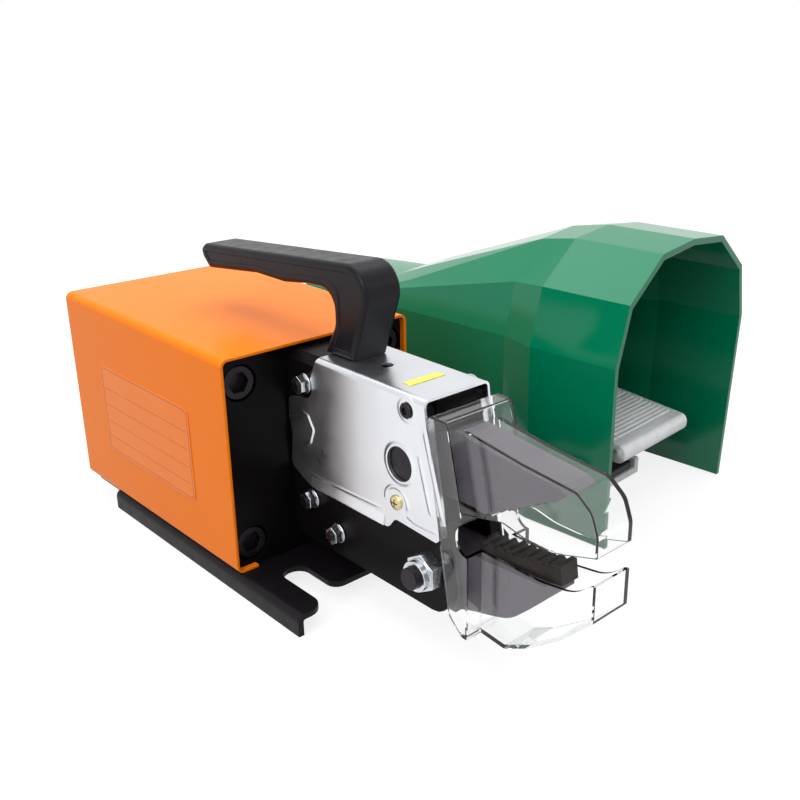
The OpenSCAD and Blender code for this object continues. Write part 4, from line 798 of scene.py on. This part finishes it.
@dataclass
class HeadCover:
    """The plated sheet cover over the crimping head, with its pressed beads, rims and screws."""

    half: float = 19.0
    # Middles of the window over the pivot pin and of the screws, as (y, z)
    pivot: tuple[float, float] = (-160.4, 75.1)
    upper_screw: tuple[float, float] = (-165.45, 101.24)
    lower_screw: tuple[float, float] = (-157.57, 55.62)
    pivot_rim: Rim = Rim(7.98, 10.9, 0.75)
    screw_rim: Rim = Rim(3.9, 6.6, 0.35)
    # Creases along the front edge, below the lower screw, behind the window and over the lower edge
    creases: tuple[Bead, ...] = (
        Bead(((-172.4, 84.0), (-180.4, 56.5)), 3.4, 0.55),
        Bead(((-175.6, 97.0), (-187.6, 55.6)), 3.2, 0.5),
        Bead(((-163.6, 51.6), (-170.5, 50.2), (-184.0, 50.6)), 2.6, 0.4),
        Bead(((-87.6, 79.6), (-94.0, 77.6), (-97.8, 71.5), (-95.0, 64.5), (-89.5, 61.0)), 2.8, 0.5),
        Bead(((-90.5, 47.4), (-120.0, 48.2), (-148.0, 49.2)), 2.2, 0.3),
    )
    # The bead round the lower screw: its radius, sweep in degrees, width and height
    screw_bead_r: float = 7.4
    screw_bead_sweep: tuple[float, float] = (-10, 200)
    screw_bead_w: float = 2.8
    screw_bead_h: float = 0.5
    # The lower flange, out from the sheet and up, and its two ends along y
    flange: Rows = ((-0.1, 46.6), (0.02, 46.6), (0.85, 42.3), (0.8, 41.3), (-0.1, 41.3))
    flange_ends: tuple[float, float] = (-149.0, -94.5)
    # Screws: depth in the cover, how proud the head is, its seat, and the shank's and head's radii
    screw_depth: float = 9.0
    head_out: float = 1.5
    seat: float = 0.05
    shank_r: float = 2.5
    head_r: float = 3.5
    # Heads as (depth below the top, radius), the first with a socket
    socket_head: Rows = ((0.6, 3.5), (0.15, 3.1), (0, 2.5), (0, 1.7), (1.0, 1.6), (1.0, 0))
    pan_head: Rows = ((0.85, 3.5), (0.4, 3.15), (0.12, 2.3), (0.02, 1.2), (0, 0))
    # The painted shade of the cross recess: half the length and width of a dark bar, and its thickness
    cross_long: float = 1.9
    cross_wide: float = 0.32
    cross_thick: float = 0.3

    def build(self, shop: Shop) -> None:
        """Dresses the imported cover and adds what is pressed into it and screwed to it."""
        shop.refined("head_cover", CHROME_PLATE, 0.3, 3)
        shop.refined("marker_strip", YELLOW_FILM, 0.08)
        parts = [part for side in Side for part in self.pressings(side.value)]
        shop.piece("cover_pressings", Surface.joined(parts), CHROME_PLATE, body="base", angle=40,
                   slot="chrome")
        self.screw(shop, "upper_cover_screws", self.upper_screw, self.socket_head, BLACKENED_STEEL,
                   "black_steel")
        self.screw(shop, "lower_cover_screws", self.lower_screw, self.pan_head, YELLOW_PASSIVATED, "brass")
        # the dark crosses on the lower screws are painted shade of their recesses
        self.cross_recess_shade(shop)

    def pressings(self, out: int) -> list[Surface]:
        """Beads, rims and the lower flange on one side, given by its sign."""
        x = out * self.half
        turn = arc(self.lower_screw, self.screw_bead_r, self.screw_bead_sweep)
        beads = (*self.creases[:2], Bead(turn, self.screw_bead_w, self.screw_bead_h), *self.creases[2:])
        parts = [bead.surface(x, out) for bead in beads]
        parts.append(self.pivot_rim.surface(self.half, self.pivot, out))
        parts.append(self.screw_rim.surface(self.half, self.upper_screw, out))
        flange = np.array(self.flange) * (out, 1) + (x, 0)
        parts.append(prism(flange, *self.flange_ends, Axis.Y))
        return parts

    def screw(self, shop: Shop, name: str, spot: tuple[float, float], head: Rows, finish: Finish,
              slot: str) -> None:
        """A turned screw on each side.

        Args:
            shop: what makes the piece.
            name: the piece's name.
            spot: the screw's middle, as (y, z).
            head: (depth below the top, radius) rows of its head.
            finish: its surface finish.
            slot: the record's material slot; not used.
        """
        h, tip = self.half, self.half + self.head_out
        rows = [(h - self.screw_depth, 0), (h - self.screw_depth, self.shank_r),
                (h - self.seat, self.shank_r), (h - self.seat, self.head_r)]
        rows += [(tip - depth, radius) for depth, radius in head]
        parts = [turned([(side.value * x, r) for x, r in rows], spot) for side in Side]
        shop.piece(name, Surface.joined(parts), finish, ("cover_screws",), bevel=0.08, slot=slot)

    def cross_recess_shade(self, shop: Shop) -> None:
        """Painted shade: a thin dark cross of blackened steel laid in each lower screw's head, standing for the shade
        in its cross recess, which is not cut.
        """
        y, z = self.lower_screw
        tip = self.half + self.head_out
        bars = []
        for side in Side:
            low, high = sorted(side.value * x for x in (tip - self.cross_thick, tip))
            for a, b in ((self.cross_long, self.cross_wide), (self.cross_wide, self.cross_long)):
                bars.append(prism(rectangle((y - a, z - b), (y + a, z + b)), low, high))
        # the dark bars are painted shade standing in for the recess, not a cut
        shop.piece("cross_recess_shade", Surface.joined(bars), BLACKENED_STEEL, body="base", slot="brass")


@dataclass
class CrimpHead:
    """Side plates, jaws, dies and the bolts that hold them."""

    # How far the jaw's spring is pressed together
    spring_travel: float = 9.2

    def build(self, shop: Shop) -> None:
        """Dresses the head's pieces."""
        for node in ("side_plate_left", "side_plate_right", "head_spacer"):
            shop.refined(node, BLACK_ENAMEL, 0.5)
        for node in ("frame_bolts", "jaw_bolt"):
            shop.refined(node, BLACKENED_STEEL, 0.3)
        for node in ("frame_washers", "frame_nuts", "lock_nut"):
            shop.refined(node, ZINC_PLATE, 0.3)
        for node in ("lower_jaw", "upper_jaw"):
            shop.refined(node, GROUND_STEEL, 0.5)
        for node in ("lower_die", "upper_die"):
            shop.refined(node, DIE_STEEL, 0.2)
        shop.refined("pivot_pin", BLACKENED_STEEL, 0.8)
        for node in ("lower_die_screws", "upper_die_screws"):
            shop.refined(node, GROUND_STEEL, 0.2)
        shop.coated(BRONZE, "wear_strip")
        shop.coated(GROUND_STEEL, "wedge", "wedge_pin", "roller", "roller_pin")
        shop.spring("jaw_spring")


@dataclass
class Handle:
    """The moulded carrying handle: one outline, rounded at its edges, with a sunk panel on each side."""

    half: float = 10.5
    foot: float = 108.3
    length: float = 137.0
    height: float = 45.5
    front: float = -129.5
    # The rounded edge, the flat rim inside it, and the panel's depth and slope
    edge: float = 2.4
    rim: float = 1.3
    sunk: float = 0.5
    slope: float = 0.4
    edge_steps: int = 6
    corner_steps: int = 10
    # Shares of the length and height, back and up, then the corner's radius in mm
    row_shares: Rows = ((0.082, 0, 0.3), (0.232, 0, 0.3), (0.172, 0.33, 10), (0.172, 0.69, 11),
                        (0.32, 0.66, 10), (0.46, 0.598, 10), (0.63, 0.6, 10), (0.95, 0.488, 2.6),
                        (0.99, 0.6, 3), (1, 0.7, 2.6), (0.972, 0.76, 2.6), (0, 1.01, 13), (0, 0.644, 12))

    def build(self, shop: Shop) -> None:
        """Builds the handle, ring by ring across its width, and dresses its bolt."""
        outline = [(self.front + a * self.length, self.foot + b * self.height, r)
                   for a, b, r in self.row_shares]
        turn = np.linspace(0, np.pi / 2, self.edge_steps + 1)
        steps = [(self.edge * (1 - math.cos(a)), self.half - self.edge * (1 - math.sin(a))) for a in turn]
        flat = self.edge + self.rim
        steps += [(flat, self.half), (flat + self.slope, self.half - self.sunk)]
        rings = []
        for depth, x in [(depth, -x) for depth, x in steps[::-1]] + steps:
            line = rounded(inset(outline, depth), self.corner_steps, thinned=False)
            rings.append(np.column_stack([np.full(len(line), x), line]))
        shop.piece("moulded_handle", lofted(np.stack(rings)), GLASS_NYLON, ("handle",), angle=40,
                   slot="black_plastic")
        shop.refined("handle_bolt", BLACKENED_STEEL, 0.4)


@dataclass
class Guard:
    """The clear guard round the jaws."""

    # Radius of its edges and the steps across them
    edge: float = 0.4
    edge_steps: int = 3

    def build(self, shop: Shop) -> None:
        """Dresses the guard."""
        shop.refined("guard", CLEAR_POLYCARBONATE, self.edge, self.edge_steps)


@dataclass
class FootValve:
    """Hood, treadle and the valve under the hood."""

    # How far the treadle's and the spool's springs are pressed together
    treadle_travel: float = 6.6
    spool_travel: float = 2.9

    def build(self, shop: Shop) -> None:
        """Dresses the foot valve's pieces."""
        shop.refined("pedal_hood", GREEN_ENAMEL, 0.7, 3, angle=9.0)
        shop.refined("treadle", CAST_ALUMINIUM, 0.0, angle=40.0, joined=False)
        shop.refined("pedal_base", CAST_ALUMINIUM, 0.5)
        shop.refined("rubber_bumper", NITRILE, 1.0, 3)
        shop.refined("treadle_pin", ZINC_PLATE, 0.5)
        shop.refined("valve_body", BRUSHED_ALUMINIUM, 0.5)
        shop.refined("valve_caps", MOULDED_NYLON, 0.8)
        shop.coated(NITRILE, "rubber_feet", "spool_seals")
        shop.coated(ZINC_PLATE, "hood_screws")
        shop.coated(BLACKENED_STEEL, "cap_screws", "valve_screws")
        shop.coated(HARD_CHROME, "valve_spool")
        shop.spring("treadle_spring")
        shop.spring("spool_spring")
        shop.coated(BRONZE, "silencers")


# The studio


@dataclass(frozen=True)
class Lamp:
    """A soft rectangular lamp: its place and aim in metres, its two sides, and its power in watts."""

    name: str
    place: tuple[float, float, float]
    aim: tuple[float, float, float]
    size: tuple[float, float]
    power: float

    def hang(self) -> None:
        """Hangs the lamp in the scene."""
        light = bpy.data.lights.new(self.name, "AREA")
        light.shape, light.energy = "RECTANGLE", self.power
        light.size, light.size_y = self.size
        lamp = bpy.data.objects.new(self.name, light)
        bpy.context.scene.collection.objects.link(lamp)
        lamp.location = self.place
        lamp.rotation_euler = (Vector(self.aim) - Vector(self.place)).to_track_quat("-Z", "Y").to_euler()


@dataclass
class Studio:
    """Camera, lamps, floor and world."""

    # The camera's place in mm, its turns in degrees, its lens in mm and its shift
    eye: tuple[float, float, float] = (-270.7, -458.5, 256.4)
    yaw: float = 44.55
    pitch: float = 21.02
    roll: float = 0.38
    focal: float = 45.0
    sensor: float = 36.0
    shift: tuple[float, float] = (-0.0875, -0.00625)
    nearest: float = 10.0
    # The floor's half width, how far it lies below the part, and how much light lifts it to white
    floor_half: float = 4000.0
    floor_drop: float = 0.2
    paper_lift: float = 0.8
    # The world's strength near the horizon and overhead, and the heights of view it changes between
    sky_low: float = 0.12
    sky_high: float = 1.15
    sky_from: float = 0.05
    sky_to: float = 0.75
    lamps: tuple[Lamp, ...] = (
        Lamp("key", (-1.1, -0.35, 0.75), (-0.05, -0.05, 0.08), (1.0, 0.8), 8.0),
        Lamp("fill", (0.5, -1.3, 0.8), (0.05, -0.05, 0.08), (1.0, 0.5), 2.0),
        Lamp("top", (0.1, 0.25, 1.3), (0, 0, 0.08), (1.4, 1.0), 10.0),
    )

    def camera(self, shop: Shop) -> None:
        """Sets the camera at the photograph's angle; yaw 0 looks along +y and pitch tips it down."""
        yaw, pitch, roll = (math.radians(a) for a in (self.yaw, self.pitch, self.roll))
        ahead = Vector((math.sin(yaw) * math.cos(pitch), math.cos(yaw) * math.cos(pitch), -math.sin(pitch)))
        level = Vector((math.cos(yaw), -math.sin(yaw), 0.0))
        above = level.cross(ahead)
        right = level * math.cos(roll) + above * math.sin(roll)
        up = above * math.cos(roll) - level * math.sin(roll)
        lens = bpy.data.cameras.new("camera")
        lens.lens, lens.sensor_width = self.focal, self.sensor
        lens.shift_x, lens.shift_y = self.shift
        lens.clip_start = self.nearest * MM
        camera = bpy.data.objects.new("camera", lens)
        bpy.context.scene.collection.objects.link(camera)
        turn = Matrix((right, up, -ahead)).transposed().to_4x4()
        camera.matrix_world = Matrix.Translation(Vector(shop.placed(np.array(self.eye)))) @ turn
        bpy.context.scene.camera = camera

    @staticmethod
    def seen(tree: bpy.types.NodeTree) -> bpy.types.Node:
        """1 on rays that the camera sees, straight, through the guard or mirrored; else 0."""
        path = add(tree, "LightPath")
        through = add(tree, "Math", links={0: path.outputs["Is Camera Ray"],
                                           1: path.outputs["Is Transmission Ray"]}, operation="MAXIMUM")
        return add(tree, "Math", links={0: through.outputs[0], 1: path.outputs["Is Glossy Ray"]},
                   operation="MAXIMUM")

    def paper(self) -> bpy.types.Material:
        """The floor's paper, lifted to white where the camera sees it."""
        material = FLOOR_PAPER.material()
        tree = material.node_tree
        lift = add(tree, "Math", {1: self.paper_lift}, {0: self.seen(tree).outputs[0]},
                   operation="MULTIPLY")
        shader = tree.nodes["Principled BSDF"]
        shader.inputs["Emission Color"].default_value = (1, 1, 1, 1)
        tree.links.new(lift.outputs[0], shader.inputs["Emission Strength"])
        return material

    def floor(self) -> None:
        """A wide floor that looks white and keeps the part's shadow."""
        half = self.floor_half * MM
        mesh = bpy.data.meshes.new("floor")
        mesh.from_pydata([(-half, -half, 0), (half, -half, 0), (half, half, 0), (-half, half, 0)], [],
                         [(0, 1, 2, 3)])
        mesh.materials.append(self.paper())
        floor = bpy.data.objects.new("floor", mesh)
        floor.location.z = -self.floor_drop * MM
        bpy.context.scene.collection.objects.link(floor)

    def world(self) -> None:
        """White where it is seen; as light it brightens from the horizon up."""
        world = bpy.data.worlds.new("world")
        bpy.context.scene.world = world
        world.use_nodes = True
        tree = world.node_tree
        tree.nodes.clear()
        way = add(tree, "TexCoord")
        part = add(tree, "SeparateXYZ", links={0: way.outputs["Generated"]})
        light = add(tree, "MapRange", {"From Min": self.sky_from, "From Max": self.sky_to,
                                       "To Min": self.sky_low, "To Max": self.sky_high},
                    {"Value": part.outputs["Z"]}, interpolation_type="SMOOTHSTEP")
        strength = add(tree, "Math", links={0: light.outputs["Result"], 1: self.seen(tree).outputs[0]},
                       operation="MAXIMUM")
        sky = add(tree, "Background", {"Color": (1, 1, 1, 1)}, {"Strength": strength.outputs[0]})
        output = add(tree, "OutputWorld")
        tree.links.new(sky.outputs["Background"], output.inputs["Surface"])

    def build(self) -> None:
        """Lamps, floor and world."""
        bpy.context.scene.view_settings.view_transform = "Standard"
        for lamp in self.lamps:
            lamp.hang()
        self.floor()
        self.world()


def main() -> None:
    """Builds the whole scene in order."""
    logging.basicConfig(level=logging.INFO, format="%(name)s: %(message)s")
    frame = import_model()
    low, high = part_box("body_cover")
    origin = np.array([(low.x + high.x) / 2, (low.y + high.y) / 2, low.z]) / MM
    shop = Shop(frame["nodes"], frame["record"]["behaviour"]["bodies"], origin)
    studio = Studio()
    studio.camera(shop)
    for assembly in (AirCylinder(), HeadCover(), CrimpHead(), Handle(), Guard(), FootValve()):
        assembly.build(shop)
        LOG.info("built %s", type(assembly).__name__)
    studio.build()


if __name__ == "__main__":
    main()
